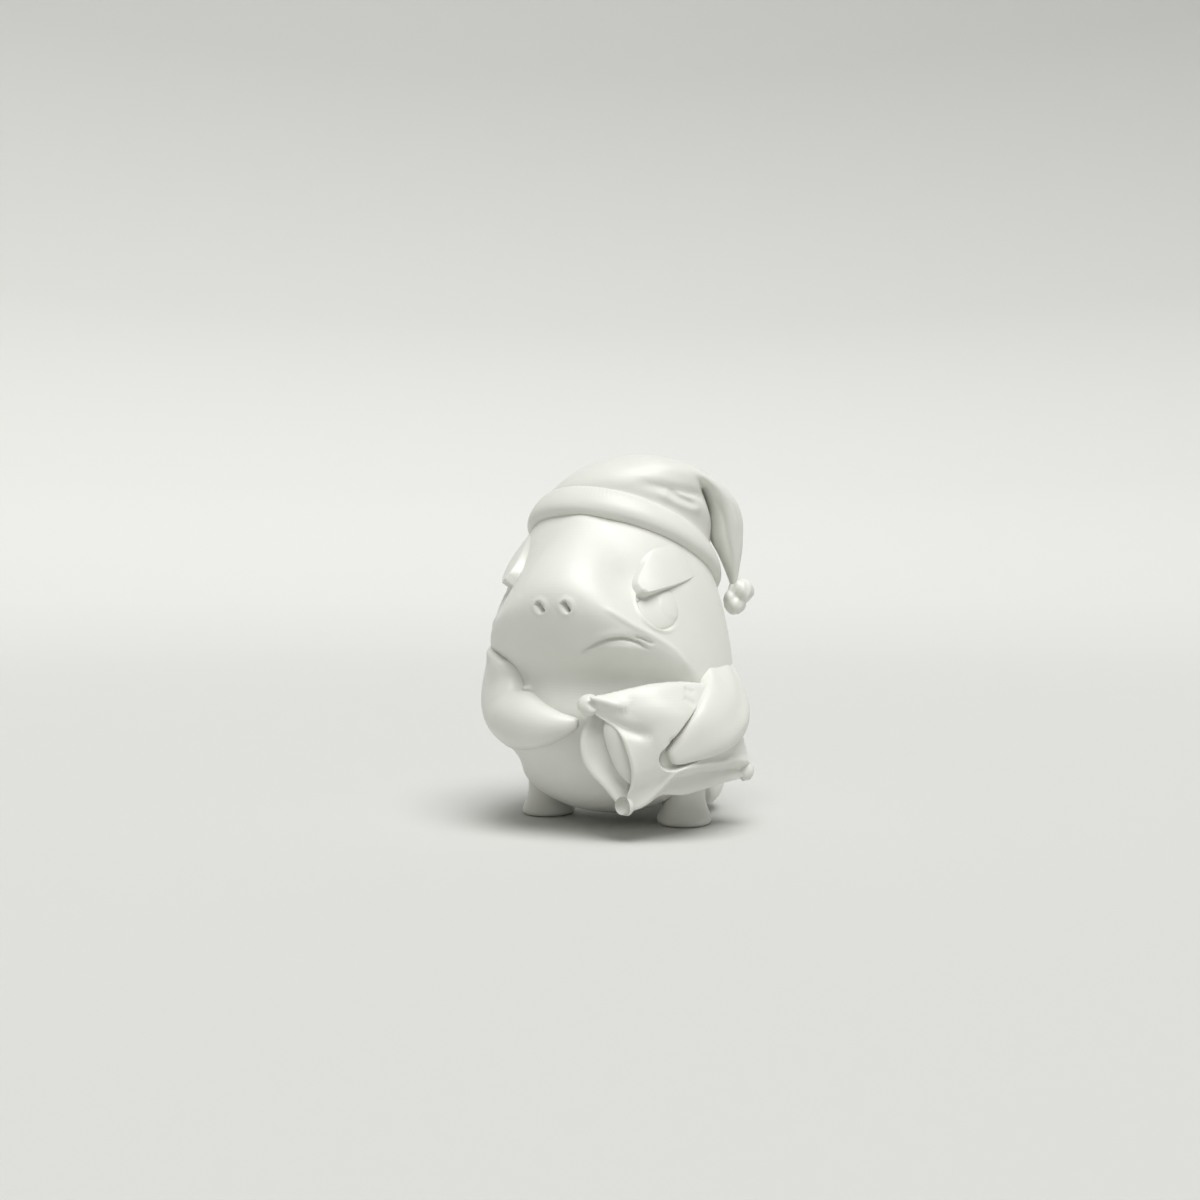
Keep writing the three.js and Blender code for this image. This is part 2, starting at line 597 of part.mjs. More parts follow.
// Place on a panel that spans its four edges: s runs from the lip and t from the top seam.
function panel(front, s, t) {
  const [frontLip, backLip, top, low, end] = CASE_EDGES;
  const lip = front ? frontLip : backLip;
  const across = lip.getPoint(t).lerp(end.getPoint(t), s);
  const start = lip.getPoint(0).lerp(lip.getPoint(1), t).sub(top.getPoint(0).lerp(low.getPoint(0), t));
  const down = top.getPoint(s).lerp(low.getPoint(s), t).addScaledVector(start, 1 - s);
  const corners = lip.getPoint(0).lerp(lip.getPoint(1), t).lerp(end.getPoint(0).lerp(end.getPoint(1), t), s);
  return across.add(down).sub(corners);
}

// Height of the fold that runs from the open end's lower corner to the arm.
function flangeHeight(turn) {
  const next = Math.max(FLANGE.findIndex(([at]) => at > turn), 1);
  const [[from, low], [to, high]] = FLANGE.slice(next - 1, next + 1);
  return THREE.MathUtils.mapLinear(turn, from, to, low, high);
}

// Point of the case's outside.
function casePoint(front, s, t) {
  const { x: turn, y: height, z: off } = panel(front, s, t);
  const seam = Math.sqrt(4 * t * (1 - t));
  const swell = seam * Math.sqrt(1 - s * s) * smooth(s, 0, SWELL_RUN);
  if (!front) {
    return around(turn, height, off - (CASE_WALL * seam) / 2 - CASE_SINK * swell);
  }
  const below = smooth(flangeHeight(turn) - height, 0, FLANGE_RUN);
  const fold = FLANGE_DROP * seam * below * smooth(s, 0, FLANGE_START);
  return around(turn, height, off + (CASE_WALL * seam) / 2 + CASE_PUFF * swell - fold);
}

// Point of the lining behind the open end, at a share of its depth, a wall inside the panels.
function liningPoint(front, depth, t) {
  const inset = 1 / 2 + (t - 1 / 2) * (1 - OPENING_TAPER * depth);
  const [here, facing] = [front, !front].map((side) => panel(side, OPENING_REACH * depth, inset));
  const seam = Math.sqrt(4 * t * (1 - t));
  here.z += ((front ? -1 : 1) * CASE_WALL * seam) / 2;
  here.lerp(facing, depth / 2);
  return around(here.x, here.y, here.z);
}

// The case: a sock from its closed end to its lips and back in to the bottom of its mouth.
function caseForm() {
  const rings = CASE_FACETS[1];
  const lip = Math.round(rings * (1 - OPENING_SHARE));
  return reshape(new THREE.SphereGeometry(1, ...CASE_FACETS), (u, v) => {
    const ring = Math.round(v * rings);
    const front = u >= 1 / 2;
    const t = front ? 2 - 2 * u : 2 * u;
    if (ring === 0) {
      return casePoint(true, 1, 1 / 2).lerp(casePoint(false, 1, 1 / 2), 1 / 2);
    }
    if (ring === rings) {
      return liningPoint(true, 1, 1 / 2);
    }
    if (ring <= lip) {
      return casePoint(front, (lip - ring) / (lip - 1), t);
    }
    return liningPoint(front, (ring - lip - 1) / (rings - lip - 1), t);
  });
}

// The pillow, a plump square cushion.
function pillowForm(grow = 0) {
  return reshape(new THREE.SphereGeometry(1, ...PILLOW_FACETS), (u, v) => {
    const [c, s] = [Math.cos(2 * Math.PI * u), Math.sin(2 * Math.PI * u)];
    const sum = Math.abs(c) ** PILLOW_SQUARENESS + Math.abs(s) ** PILLOW_SQUARENESS;
    const square = sum ** (1 / PILLOW_SQUARENESS);
    const girth = Math.sin(Math.PI * v) ** PILLOW_FULLNESS / square;
    const up = (PILLOW_HALF_HEIGHT + grow) * girth * s;
    const along = (PILLOW_HALF_LENGTH + grow) * girth * c - PILLOW_SKEW * up;
    const turn = PILLOW_TURN + along / radians(BELLY_HALF_DEPTH);
    const face = -(PILLOW_HALF_THICKNESS + grow) * Math.cos(Math.PI * v);
    return around(turn, PILLOW_MIDDLE_HEIGHT + up, PILLOW_STAND_OFF + PILLOW_LEAN * up + face);
  });
}

// The mouth's groove and a nostril's slit, cut into the skin.
function mouthGroove() {
  return limb({
    curve: route(MOUTH_ROUTE),
    halfWidths: [MOUTH_HALF_WIDTH, MOUTH_HALF_WIDTH],
    halfThicknesses: [MOUTH_DEPTH, MOUTH_DEPTH],
    facets: FINE_FACETS,
  });
}

function nostril(side) {
  const slit = new THREE.SphereGeometry(1, ...FINE_FACETS);
  slit.scale(NOSTRIL_HALF_WIDTH, NOSTRIL_HALF_LENGTH, NOSTRIL_DEPTH);
  return solid(slit.applyMatrix4(seat({ turn: side * NOSTRIL_TURN, height: NOSTRIL_HEIGHT })));
}

// Assembly: each piece is shaped to the ones that carry it, one glue line away.
const SIDES = { left: 1, right: -1 };
const near = bodyForm(SEAT_GAP);
const cuffRoom = cuffForm(SEAT_GAP);
const leftFootRoom = footForm(SIDES.left, SEAT_GAP);
const pieces = {};

let body = bodyForm().subtract(mouthGroove());
const keys = [
  { name: "right_arm", form: limb(RIGHT_ARM), place: RIGHT_ARM_ROUTE[1], radius: PEG_RADIUS },
  { name: "left_arm", form: limb(LEFT_ARM), place: LEFT_ARM_ROUTE[1], radius: PEG_RADIUS },
  { name: "tail", form: cut(limb(TAIL), leftFootRoom), place: TAIL_ROUTE[0], radius: PEG_RADIUS },
  {
    name: "dorsal_fin",
    form: finForm(),
    place: { turn: 180, height: (FIN_TOP + FIN_BOTTOM) / 2 },
    radius: FIN_PEG_RADIUS,
  },
];
for (const { name, form, place, radius } of keys) {
  pieces[name] = cut(form, near).add(pegInto(place, radius));
  body = body.subtract(pegInto(place, radius, PEG_CLEARANCE));
}
for (const [name, side] of Object.entries(SIDES)) {
  pieces[`${name}_eye`] = eye(side);
  pieces[`${name}_eyelid`] = eyelid(side, near, cuffRoom);
  pieces[`${name}_foot`] = cut(footForm(side), near).add(footPeg(side));
  const hollows = [eye(side, SEAT_GAP), footPeg(side, PEG_CLEARANCE), nostril(side)];
  body = cut(body, ...hollows);
}
pieces.body = body;

pieces.cap_cuff = cut(cuffForm(), near);
pieces.cap_crown = cut(crownForm(), near, cuffRoom);
pieces.cap_pompom = cut(pompomForm(), near, crownForm(SEAT_GAP), cuffRoom);

const wall = SEAT_GAP + CASE_WALL;
const lining = wall + SEAT_GAP;
const pocket = cut(pillowForm(SEAT_GAP), bodyForm(wall), limb(LEFT_ARM, wall));
pieces.pillow = cut(pillowForm(), bodyForm(lining), limb(LEFT_ARM, lining));
const arms = [limb(LEFT_ARM, SEAT_GAP), limb(RIGHT_ARM, SEAT_GAP)];
pieces.pillowcase = cut(caseForm(), near, ...arms, leftFootRoom, pocket);

// The solids as named meshes, moved so that the figurine stands centred on the origin.
const figurine = new THREE.Group();
for (const [name, piece] of Object.entries(pieces)) {
  const { vertProperties, triVerts } = piece.getMesh();
  const geometry = new THREE.BufferGeometry();
  geometry.setAttribute("position", new THREE.BufferAttribute(new Float32Array(vertProperties), 3));
  geometry.setIndex(new THREE.BufferAttribute(new Uint32Array(triVerts), 1));
  geometry.computeVertexNormals();
  const finish = { color: RESIN, roughness: RESIN_ROUGHNESS, metalness: 0 };
  const material = new THREE.MeshStandardMaterial(finish);
  const mesh = new THREE.Mesh(geometry, material);
  mesh.name = name;
  figurine.add(mesh);
}
const box = new THREE.Box3().setFromObject(figurine);
const middle = box.getCenter(new THREE.Vector3());
figurine.position.set(-middle.x, -middle.y, -box.min.z);

const model = new THREE.Group();
model.add(figurine);

export default model;
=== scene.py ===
"""Sculpts a shark figurine in a nightcap, with a pillow under its flipper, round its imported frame."""

import math

import bmesh
import bpy
import numpy as np
from bpy.props import FloatProperty, FloatVectorProperty, PointerProperty
from mathutils import Matrix, Vector


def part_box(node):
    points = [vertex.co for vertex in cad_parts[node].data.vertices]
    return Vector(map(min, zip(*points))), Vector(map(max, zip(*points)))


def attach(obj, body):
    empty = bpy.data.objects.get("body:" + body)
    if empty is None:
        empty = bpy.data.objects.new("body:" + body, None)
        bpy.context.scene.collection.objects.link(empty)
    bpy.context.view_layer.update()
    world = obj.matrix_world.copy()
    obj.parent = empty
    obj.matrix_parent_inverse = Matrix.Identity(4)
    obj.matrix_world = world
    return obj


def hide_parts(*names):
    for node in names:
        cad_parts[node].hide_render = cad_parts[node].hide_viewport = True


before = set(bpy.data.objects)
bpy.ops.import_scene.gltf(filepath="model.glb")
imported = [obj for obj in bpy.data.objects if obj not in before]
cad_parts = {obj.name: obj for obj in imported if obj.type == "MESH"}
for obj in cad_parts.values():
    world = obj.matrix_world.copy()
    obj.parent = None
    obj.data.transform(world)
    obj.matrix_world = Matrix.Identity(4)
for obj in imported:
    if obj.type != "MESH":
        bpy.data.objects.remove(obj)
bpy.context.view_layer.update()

bl_info = {
    "name": "Nightcap Shark Figurine",
    "version": (1, 0, 0),
    "blender": (4, 5, 0),
    "location": "View3D > Sidebar > Figurine",
    "description": "Sculpts a printed resin shark with a nightcap and a pillow round its frame",
    "category": "Object",
}

# Shapes are worked out in millimetres from the body's upright axis, with +Z up and the shark facing -Y.
# A turn is an angle about +Z: 0 is the front, 90 degrees the shark's left side and 180 its back. The tables
# give turns in degrees.
MM = 0.001
BODY = "root"
FOOT_SET_BACK = 0.8  # foot centres behind the body's axis
SIDES = {"left": 1, "right": -1}


def box_mm(node):
    """Lowest and highest corner of a frame node in millimetres."""
    low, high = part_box(node)
    return np.array(low) / MM, np.array(high) / MM


def body_axis():
    """The foot of the body's axis: midway between the feet and a little in front of them."""
    feet = [corner for side in SIDES for corner in box_mm(f"{side}_foot")]
    x, y, _ = np.mean(feet, axis=0)
    return np.array([x, y - FOOT_SET_BACK, 0.0])


AXIS = body_axis()


def linear(code):
    """An sRGB hex colour as linear light."""
    parts = [int(code[i:i + 2], 16) / 255.0 for i in (1, 3, 5)]
    return tuple(p / 12.92 if p <= 0.04045 else ((p + 0.055) / 1.055) ** 2.4 for p in parts)


def length_prop(label, meaning, default):
    """A length that the user can set, in metres."""
    return FloatProperty(name=label, description=meaning, default=default, unit="LENGTH", precision=5)


def angle_prop(label, meaning, degrees):
    """An angle that the user can set."""
    return FloatProperty(name=label, description=meaning, default=math.radians(degrees), subtype="ANGLE")


class FigurineSizes(bpy.types.PropertyGroup):
    """Main sizes of the figurine"""

    body_base: length_prop("Belly above floor", "Height of the belly's lowest point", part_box("body")[0].z)
    body_top: length_prop("Head top", "Top of the head under the cap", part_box("body")[1].z)
    belly_height: length_prop("Belly height", "Height of the widest ring of the body", 0.014)
    belly_half_width: length_prop("Belly half width", "From the axis to the side of the widest ring", 0.0131)
    belly_half_depth: length_prop("Belly half depth", "From the axis to the back of the widest ring", 0.0126)
    nose_height: length_prop("Nose height", "Height of the snout's ridge at the nose", 0.0245)
    nose_reach: length_prop("Nose reach", "How far the nose stands out of the egg-shaped head", 0.004)
    eye_radius: length_prop("Eye radius", "Radius of the round eye", 0.0024)
    lid_thickness: length_prop("Lid thickness", "How far an eyelid stands out of the brow", 0.0009)
    cap_height: length_prop("Cap height", "Height of the cuff's lower edge on the axis", 0.02855)
    cap_tilt: angle_prop("Cap tilt", "Angle by which the cap is pulled down at the back", 26.6)
    cuff_breadth: length_prop("Cuff breadth", "From the lower to the upper edge of the cap's cuff", 0.0037)
    cuff_rise: length_prop("Cuff rise", "How far the cuff's roll stands out of the head", 0.00115)
    crown_rise: length_prop("Crown rise", "Thickness of the cap over the head", 0.0009)
    case_puff: length_prop("Case puff", "How far the pillowcase's outer panel swells beyond its seam", 0.0022)
    case_wall: length_prop("Case wall", "Thickness of the pillowcase at its open end", 0.0006)


class FigurineFinish(bpy.types.PropertyGroup):
    """Colours and grain of the printed resin"""

    resin: FloatVectorProperty(
        name="Resin", description="Colour of the cured resin",
        default=linear("#E3E4DE"), size=3, min=0.0, max=1.0, subtype="COLOR")
    resin_shade: FloatVectorProperty(
        name="Resin shade", description="Slightly greyer tone where the resin cured thicker",
        default=linear("#DADAD3"), size=3, min=0.0, max=1.0, subtype="COLOR")
    layer_pitch: length_prop("Layer pitch", "Height of one printed layer as drawn", 0.0003)
    roughness: FloatProperty(
        name="Roughness", description="Roughness of the washed and cured surface",
        default=0.42, min=0.0, max=1.0, subtype="FACTOR")


class FigurineStage(bpy.types.PropertyGroup):
    """Camera and light"""

    camera_turn: angle_prop("Camera turn", "Turn of the camera round the figurine", 24.0)
    camera_distance: length_prop("Camera distance", "From the body's axis to the camera", 0.129)
    camera_height: length_prop("Camera height", "Height of the camera above the floor", 0.023)
    key_strength: FloatProperty(
        name="Key strength", description="Strength of the broad soft light from above",
        default=3.2, min=0.0)
    sky_strength: FloatProperty(
        name="Sky strength", description="Strength of the even light from all round",
        default=0.22, min=0.0)


def size(name):
    """One of the user's sizes in millimetres."""
    return getattr(bpy.context.scene.figurine_sizes, name) / MM


# Shape tools

def clamp(x):
    """The nearest value from 0 to 1."""
    return np.clip(x, 0.0, 1.0)


def smooth(x, start, end):
    """0 before the start, 1 after the end, with a soft rise between them."""
    share = clamp((x - start) / (end - start))
    return share * share * (3.0 - 2.0 * share)


def round_edge(x):
    """A quarter round that rises from 0 to 1 as x goes from 0 to 1."""
    return np.sqrt(1.0 - (1.0 - clamp(x)) ** 2)


def hump(x, centre, width):
    """A soft hump of height 1."""
    return np.exp(-(((x - centre) / width) ** 2))


def run(stations, share):
    """A smooth run through evenly spaced stations, which are numbers or points."""
    values = np.asarray(stations, float)
    last = len(values) - 1
    place = clamp(np.asarray(share, float)) * last
    first = np.minimum(place.astype(int), last - 1)
    step = place - first
    if values.ndim > 1:
        step = step[..., None]
    a, b = values[first], values[first + 1]
    before, after = values[np.maximum(first - 1, 0)], values[np.minimum(first + 2, last)]
    bend = before - 2.5 * a + 2.0 * b - 0.5 * after
    twist = 1.5 * (a - b) + 0.5 * (after - before)
    return a + step * ((b - before) / 2.0 + step * (bend + step * twist))


def eased(share):
    """Shares that crowd together at both ends."""
    return (1.0 - np.cos(math.pi * share)) / 2.0


def rounded(x, power):
    """A power of x that keeps its sign."""
    return np.sign(x) * np.abs(x) ** power


def unit(vectors):
    """The vectors at length 1."""
    return vectors / np.maximum(np.linalg.norm(vectors, axis=-1, keepdims=True), 1e-9)


def polar(turn, radius, height):
    """Points from turns in radians, distances from the axis and heights."""
    return np.stack(np.broadcast_arrays(radius * np.sin(turn), -radius * np.cos(turn), height), -1)


def spot(turn, height, radius):
    """Points at turns in degrees, heights and distances from the axis."""
    return polar(np.radians(turn), radius, height)


def gap_to(points, place):
    """Distances of the points from a place."""
    return np.linalg.norm(points - place, axis=1)


def level(points):
    """The points' directions straight away from the axis."""
    return unit(points * [1.0, 1.0, 0.0])


def stroke(points, path, width, fade):
    """Weight of one pass of a sculpting tool: 1 along its path, dying out sideways and towards its ends."""
    weight = np.zeros(len(points))
    reach = 3.0 * width
    close = np.all((points > path.min(0) - reach) & (points < path.max(0) + reach), axis=1)
    gap = np.linalg.norm(points[close, None] - path[None], axis=2)
    share = gap.argmin(1) / (len(path) - 1)
    ends = smooth(share, 0.0, fade) * smooth(1.0 - share, 0.0, fade)
    weight[close] = hump(gap.min(1), 0.0, width) * ends
    return weight


# The body's skin

SKIN_STEPS = 80  # points of a path over the skin
FOLD_STEPS = 60  # and of a fold in the cap or the case
HEAD_FULLNESS = 1.75  # exponent of the egg above its widest ring
BASE_FULLNESS = 2.2  # and below it
WAIST_HEIGHT = 6.9  # the sides are drawn in most here
WAIST_HOLLOW = 1.85
WAIST_SOFTNESS = 1.9
FOREHEAD_RUN = 9.0  # height over which the snout grows out
BROW_HOLLOW = 1.6  # exponent of the hollow above the ridge
RIDGE_FALL = 10.0  # drop of the snout's ridge to the cheek
RIDGE_TURN = 76.0  # turn at which it levels out
RIDGE_BEND = 13.0  # turn over which it bends at the nose
RIDGE_SOFT = 12.0  # up to this turn it is as round as the nose
RIDGE_CRISP = 40.0  # from this turn it is a crisp edge
SNOUT_TURN = 76.0  # turn at which the snout has died into the cheek
THROAT_HEIGHT = 15.3
THROAT_HOLLOW = 1.0
THROAT_SOFTNESS = 2.2
CHIN_DEPTH = 2.0  # least height of the jaw under the ridge


def ridge_height(turn):
    """Height of the snout's ridge at a turn in radians."""
    bend, end = math.radians(RIDGE_BEND), math.radians(RIDGE_TURN)
    slide = np.hypot(np.minimum(np.abs(turn), end), bend) - bend
    return size("nose_height") - RIDGE_FALL * slide / (math.hypot(end, bend) - bend)


def snout(turn, height):
    """How far the snout stands out of the egg, or the throat lies inside it."""
    swing = np.minimum(np.abs(turn) / math.radians(SNOUT_TURN), 1.0)
    above = height - ridge_height(turn)
    rise = clamp(above / FOREHEAD_RUN)
    crisp = smooth(np.abs(turn), math.radians(RIDGE_SOFT), math.radians(RIDGE_CRISP))
    forehead = (1.0 - smooth(rise, 0.0, 1.0)) * (1.0 - crisp) + (1.0 - rise) ** BROW_HOLLOW * crisp
    jaw = 1.0 - smooth(-above / np.maximum(ridge_height(turn) - THROAT_HEIGHT, CHIN_DEPTH), 0.0, 1.0)
    throat = THROAT_HOLLOW * hump(height, THROAT_HEIGHT, THROAT_SOFTNESS)
    reach = size("nose_reach") * np.where(above > 0.0, forehead, jaw)
    return np.cos(swing * math.pi / 2.0) ** 2 * (reach - throat)


def egg_radius(turn, height):
    """Radius of the egg that the head and the belly are carved from."""
    belly = size("belly_height")
    end = np.where(height >= belly, size("body_top"), size("body_base"))
    share = clamp((height - belly) / (end - belly))
    girth = np.sqrt(1.0 - share ** np.where(height >= belly, HEAD_FULLNESS, BASE_FULLNESS))
    across, along = np.sin(turn) / size("belly_half_width"), np.cos(turn) / size("belly_half_depth")
    waist = WAIST_HOLLOW * np.sin(turn) ** 2 * hump(height, WAIST_HEIGHT, WAIST_SOFTNESS)
    return girth / np.hypot(across, along) - waist * girth


def skin(turn, height, lift=0.0):
    """Points of the skin at turns in radians and heights, lifted straight away from the axis."""
    return polar(turn, egg_radius(turn, height) + snout(turn, height) + lift, height)


def skin_normal(turn, height):
    """Directions straight out of the skin."""
    step = 0.004
    across = skin(turn + step, height) - skin(turn - step, height)
    rise = skin(turn, height + step) - skin(turn, height - step)
    return unit(np.cross(across, rise))


def route(places, steps):
    """A smooth, close run of points through places."""
    return run(places, np.linspace(0.0, 1.0, steps))


def on_skin(places):
    """A path over the skin through places, each a turn in degrees and a height."""
    turns, heights = route(places, SKIN_STEPS).T
    return skin(np.radians(turns), heights)


def skin_point(turn, height):
    """The point of the skin at a turn in degrees and a height."""
    return skin(np.radians(turn), np.array(float(height)))


def lifted(places):
    """Points at places on the body, each a turn in degrees, a height and a lift."""
    turns, heights, lifts = np.asarray(places, float).T
    return skin(np.radians(turns), heights, lifts)


# Mesh tools

WELD = 1e-5  # points closer than this are one


def ball(around, up):
    """A sphere to be shaped: the mesh, the angle round it and the share from its foot to its top."""
    bm = bmesh.new()
    bmesh.ops.create_uvsphere(bm, u_segments=around, v_segments=up, radius=1.0)
    x, y, z = np.array([vert.co for vert in bm.verts]).T
    return bm, np.arctan2(y, x) % (2.0 * math.pi), np.arccos(np.clip(-z, -1.0, 1.0)) / math.pi


def slab(cuts):
    """A flat block to be shaped, closed all round: the mesh and its three coordinates from -1 to 1."""
    bm = bmesh.new()
    bmesh.ops.create_cube(bm, size=2.0)
    flat = [edge for edge in bm.edges if abs(edge.verts[0].co.z - edge.verts[1].co.z) < 1.0]
    bmesh.ops.subdivide_edges(bm, edges=flat, cuts=cuts, use_grid_fill=True)
    return bm, *np.array([vert.co for vert in bm.verts]).T


def spin(bm, steps):
    """Spins an outline round the upright axis into one surface."""
    bmesh.ops.spin(bm, geom=bm.verts[:] + bm.edges[:], cent=(0, 0, 0), axis=(0, 0, 1),
                   angle=2.0 * math.pi, steps=steps, use_merge=True)
    bmesh.ops.remove_doubles(bm, verts=bm.verts, dist=WELD)
    bmesh.ops.recalc_face_normals(bm, faces=bm.faces)


def ring(around, section):
    """A closed ring to be shaped: the mesh, the angle round it and the angle round its section."""
    bm = bmesh.new()
    tilt = Matrix.Translation((1.0, 0.0, 0.0)) @ Matrix.Rotation(math.pi / 2.0, 4, "X")
    bmesh.ops.create_circle(bm, segments=section, radius=0.5, matrix=tilt)
    spin(bm, around)
    x, y, z = np.array([vert.co for vert in bm.verts]).T
    return bm, np.arctan2(y, x), np.arctan2(z, np.hypot(x, y) - 1.0)


def move(bm, points):
    """Puts the vertices at points given in millimetres from the body's axis."""
    for vert, point in zip(bm.verts, (points + AXIS) * MM):
        vert.co = point


def outward(bm):
    """Directions straight out of a shaped mesh, one a vertex."""
    bm.normal_update()
    return np.array([vert.normal for vert in bm.verts])


def make_object(name, bm, material):
    """Makes the mesh a smooth object of one material."""
    for face in bm.faces:
        face.smooth = True
    mesh = bpy.data.meshes.new(name)
    bm.to_mesh(mesh)
    bm.free()
    mesh.materials.append(material)
    made = bpy.data.objects.new(name, mesh)
    bpy.context.scene.collection.objects.link(made)
    return made


def finish_piece(name, bm, points, *nodes):
    """Makes the mesh, with its vertices at the points, a piece that stands for frame nodes."""
    move(bm, points)
    bmesh.ops.recalc_face_normals(bm, faces=bm.faces)
    piece = make_object(name, bm, printed_resin())
    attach(piece, BODY)
    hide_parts(*nodes)


def limb_points(angle, v, spine, half_widths, half_thicknesses, squareness=2.0, facing=None):
    """Points of a form along a spine, with an oval section and round ends."""
    share = eased(v)
    step = 0.005
    centre = run(spine, share)
    along = unit(run(spine, share + step) - run(spine, share - step))
    away = centre * [1.0, 1.0, 0.0] if facing is None else np.broadcast_to(facing, centre.shape)
    out = unit(away - along * np.sum(away * along, axis=-1, keepdims=True))
    side = np.cross(out, along)
    ends = np.sqrt(np.sin(math.pi * clamp(v)).clip(0.0))
    c, s = np.cos(angle), np.sin(angle)
    power = 2.0 / squareness
    wide = rounded(c, power) * run(half_widths, share) * ends
    thick = rounded(s, power) * run(half_thicknesses, share) * ends
    return centre + side * wide[:, None] + out * thick[:, None]


# Materials

def add_node(tree, kind, settings=(), inputs=(), links=()):
    """Adds a node, sets its own settings and input values, and links its inputs to other outputs."""
    node = tree.nodes.new(kind)
    for name, value in dict(settings).items():
        setattr(node, name, value)
    for name, value in dict(inputs).items():
        node.inputs[name].default_value = value
    for name, output in dict(links).items():
        tree.links.new(output, node.inputs[name])
    return node


WAVE_RATE = 20.0  # a wave texture turns its phase by this for each unit of its scale


def printed_resin():
    """Photopolymer resin, printed in layers, washed and cured: satin, translucent and finely terraced."""
    name = "Printed photopolymer resin"
    if name in bpy.data.materials:
        return bpy.data.materials[name]
    finish = bpy.context.scene.figurine_finish
    material = bpy.data.materials.new(name)
    material.use_nodes = True
    tree = material.node_tree
    tree.nodes.clear()
    place = add_node(tree, "ShaderNodeTexCoord").outputs["Object"]
    # The tone drifts softly over about 5 mm, as the resin cures unevenly.
    drift = add_node(tree, "ShaderNodeTexNoise", {}, {"Scale": 1.0 / (5.0 * MM), "Detail": 2.0},
                     {"Vector": place})
    tone = add_node(tree, "ShaderNodeMix", {"data_type": "RGBA"}, {}, {"Factor": drift.outputs["Fac"]})
    tone.inputs["A"].default_value = (*finish.resin, 1.0)
    tone.inputs["B"].default_value = (*finish.resin_shade, 1.0)
    # Layers of 0.05 mm are too fine to show, so they are drawn coarser, as terraces on flat slopes.
    layers = add_node(tree, "ShaderNodeTexWave", {"wave_type": "BANDS", "bands_direction": "Z"},
                      {"Scale": 2.0 * math.pi / (WAVE_RATE * finish.layer_pitch), "Distortion": 0.6,
                       "Detail": 1.0, "Detail Scale": 0.2}, {"Vector": place})
    # A fine grain of about 0.25 mm from washing breaks up the shine.
    grain = add_node(tree, "ShaderNodeTexNoise", {}, {"Scale": 1.0 / (0.25 * MM), "Detail": 3.0},
                     {"Vector": place})
    relief = add_node(tree, "ShaderNodeBump", {}, {"Strength": 0.06, "Distance": 0.03 * MM},
                      {"Height": layers.outputs["Fac"]})
    rough = add_node(tree, "ShaderNodeMapRange", {},
                     {"To Min": finish.roughness - 0.05, "To Max": finish.roughness + 0.08},
                     {"Value": grain.outputs["Fac"]})
    pitted = add_node(tree, "ShaderNodeBump", {}, {"Strength": 0.08, "Distance": 0.02 * MM},
                      {"Height": grain.outputs["Fac"], "Normal": relief.outputs["Normal"]})
    shader = add_node(tree, "ShaderNodeBsdfPrincipled", {},
                      {"IOR": 1.5, "Subsurface Weight": 0.12, "Subsurface Scale": 0.6 * MM,
                       "Subsurface Radius": (1.0, 0.95, 0.85)},
                      {"Base Color": tone.outputs["Result"], "Roughness": rough.outputs["Result"],
                       "Normal": pitted.outputs["Normal"]})
    add_node(tree, "ShaderNodeOutputMaterial", {}, {}, {"Surface": shader.outputs["BSDF"]})
    return material


# Head and body

FACE_TURN = 8.0  # turn that the mesh is finest at
FACE_FINENESS = 0.55  # how strongly the mesh gathers there
RING_GATHER = 0.6  # how strongly its rings gather at mid-height
POLE_CAP = (0.02, 0.16)  # shares from a pole between which its round spacing ends
MOUTH = [(8.5, 18.05), (13, 18.7), (19.3, 19.45), (24, 19.75), (28.2, 19.75), (32.5, 19.46),
         (35.8, 19.06), (39.5, 18.5)]
LOWER_LIP = [(17, 18.55), (22, 18.95), (27, 19.05), (32, 18.75), (36, 18.2)]
UPPER_LIP = [(12, 19.1), (19.5, 19.95), (26, 20.25), (31, 20.05)]
CHEEK_FOLD = [(31.5, 20.0), (36.1, 19.7), (40.5, 19.15)]
RIDGE_BEAD = [(20, 22.75), (23.3, 22.33), (32, 21), (41.8, 19.82), (51.8, 18.41), (60.5, 16.39)]
NOSTRILS = [[(-5.3, 23.25), (-2.9, 22.3)], [(5.2, 23.3), (7.6, 22.3)]]
# Passes of the carving tool over the face: route, width, height, and share that fades at each end
FACE_PASSES = [
    (MOUTH, 0.17, -0.42, 0.25),
    (LOWER_LIP, 0.5, 0.3, 0.4),
    (UPPER_LIP, 0.45, 0.12, 0.4),
    (CHEEK_FOLD, 0.17, -0.3, 0.35),
    (RIDGE_BEAD, 0.3, 0.12, 0.3),
    *((slit, 0.21, -0.7, 0.1) for slit in NOSTRILS),
]
NOSTRIL_RIM = (0.7, 0.28)  # radius and width
NOSTRIL_RISE = 0.1
BROW_DENT = (30.5, 25.6)
BROW_DENT_DEPTH = 0.45
BROW_DENT_SIZE = 2.2
ARM_NUB = (-22.0, 14.55)  # small lump where the right flipper leaves the belly
ARM_NUB_RISE = 0.7
ARM_NUB_SIZE = 0.4
CHEEK_HOLLOW = 0.6  # depth of the hollow in the right cheek
CHEEK_TURN = (-58.0, 16.0)  # its middle and its width
CHEEK_HEIGHT = (19.0, 2.8)
HEAD_SINK = 0.8  # what the top of the head gives way to the cap
HEAD_SINK_RUN = (2.5, 0.5)  # between these depths
EYE_TURN = 46.9
EYE_HEIGHT = 23.1
EYE_STRETCH = 0.18  # share of its radius, towards the bold rim
EYE_STRETCH_SPREAD = 50.0
SKIN_MM = 0.213  # length of one degree of turn near the eye
EYE_SOCKET = 0.75  # depth of the socket towards the nose
SOCKET_SLOPE = (-1.8, 1.6)  # it runs out between these offsets
SOCKET_EDGE = (-0.04, 0.24)  # its wall, from the eye's outline
